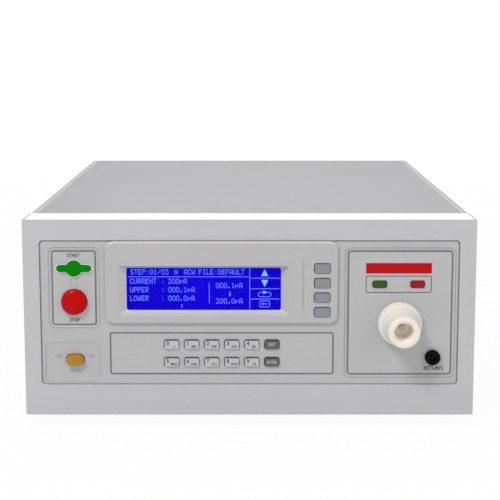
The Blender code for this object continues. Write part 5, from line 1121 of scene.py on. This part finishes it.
# %% Studio
world = bpy.data.worlds.new("studio")
bpy.context.scene.world = world
world.use_nodes = True
world_tree = world.node_tree
background = world_tree.nodes["Background"]
background.inputs["Color"].default_value = (1, 1, 1, 1)
rays = world_tree.nodes.new("ShaderNodeLightPath")
seen = world_tree.nodes.new("ShaderNodeMath")
seen.operation = "MAXIMUM"
world_tree.links.new(rays.outputs["Is Camera Ray"], seen.inputs[0])
world_tree.links.new(rays.outputs["Is Transmission Ray"], seen.inputs[1])
level = world_tree.nodes.new("ShaderNodeMapRange")
AMBIENT = 0.48
level.inputs["To Min"].default_value = AMBIENT
level.inputs["To Max"].default_value = 1.0
world_tree.links.new(seen.outputs[0], level.inputs["Value"])
world_tree.links.new(level.outputs["Result"], background.inputs["Strength"])

FLOOR_REACH, FLOOR_DROP = 6.0, 0.0002
floor_mesh = bpy.data.meshes.new("floor")
floor_mesh.from_pydata([(FLOOR_REACH * x, FLOOR_REACH * y, 0)
                        for x, y in ((-1, -1), (1, -1), (1, 1), (-1, 1))], [], [(0, 1, 2, 3)])
floor = added("floor", floor_mesh)
floor.location.z = -FLOOR_DROP

FLOOR_GLOW = 0.94
FADE_START, FADE_LENGTH = 0.6, 1.2
floor_finish = Finish("floor_white", (0.88, 0.88, 0.88), 0.7)
tree = floor_finish.tree
path = floor_finish.node("ShaderNodeLightPath", outlet="Is Camera Ray")
from_middle = floor_finish.node("ShaderNodeVectorMath", {0: floor_finish.place()},
                                outlet="Value", operation="LENGTH")
glow_share = FLOOR_GLOW + (1 - FLOOR_GLOW) * ((from_middle - FADE_START) / FADE_LENGTH).held()
gloss_path = floor_finish.node("ShaderNodeLightPath", outlet="Is Glossy Ray")
glow_node = tree.nodes.new("ShaderNodeEmission")
glow_node.inputs["Strength"].default_value = 1.0
mixer = tree.nodes.new("ShaderNodeMixShader")
tree.links.new((path.most(gloss_path) * glow_share).socket, mixer.inputs[0])
tree.links.new(floor_finish.shader.outputs[0], mixer.inputs[1])
tree.links.new(glow_node.outputs[0], mixer.inputs[2])
tree.links.new(mixer.outputs[0], tree.nodes["Material Output"].inputs["Surface"])
floor_mesh.materials.append(floor_finish.material)


def softbox(name, at, size, power):
    """A large soft lamp turned towards the instrument."""
    lamp = bpy.data.lights.new(name, "AREA")
    lamp.shape, lamp.size, lamp.size_y, lamp.energy = "RECTANGLE", size[0], size[1], power
    holder = added(name, lamp)
    holder.location = at
    holder.rotation_euler = (Vector(AIM) - Vector(at)).to_track_quat("-Z", "Y").to_euler()


AIM = (0, 0, 0.08)
LAMPS = {  # place, size in metres and power in watts
    "key": ((-0.9, -1.5, 1.9), (0.6, 0.6), 28),
    "fill": ((1.3, -1.6, 0.9), (1.4, 1.0), 6),
    "top": ((0, 0.3, 2.2), (1.6, 1.2), 7),
    "back": ((0.1, 2.1, 1.5), (1.4, 1.2), 12),
}
for name, (at, size, power) in LAMPS.items():
    softbox(name, at, size, power)
print("studio lit")

# %% [markdown]
# ## The look of the file
#
# The Standard view shows a colour as it was mixed.

# %% View
bpy.context.scene.view_settings.view_transform = "Standard"
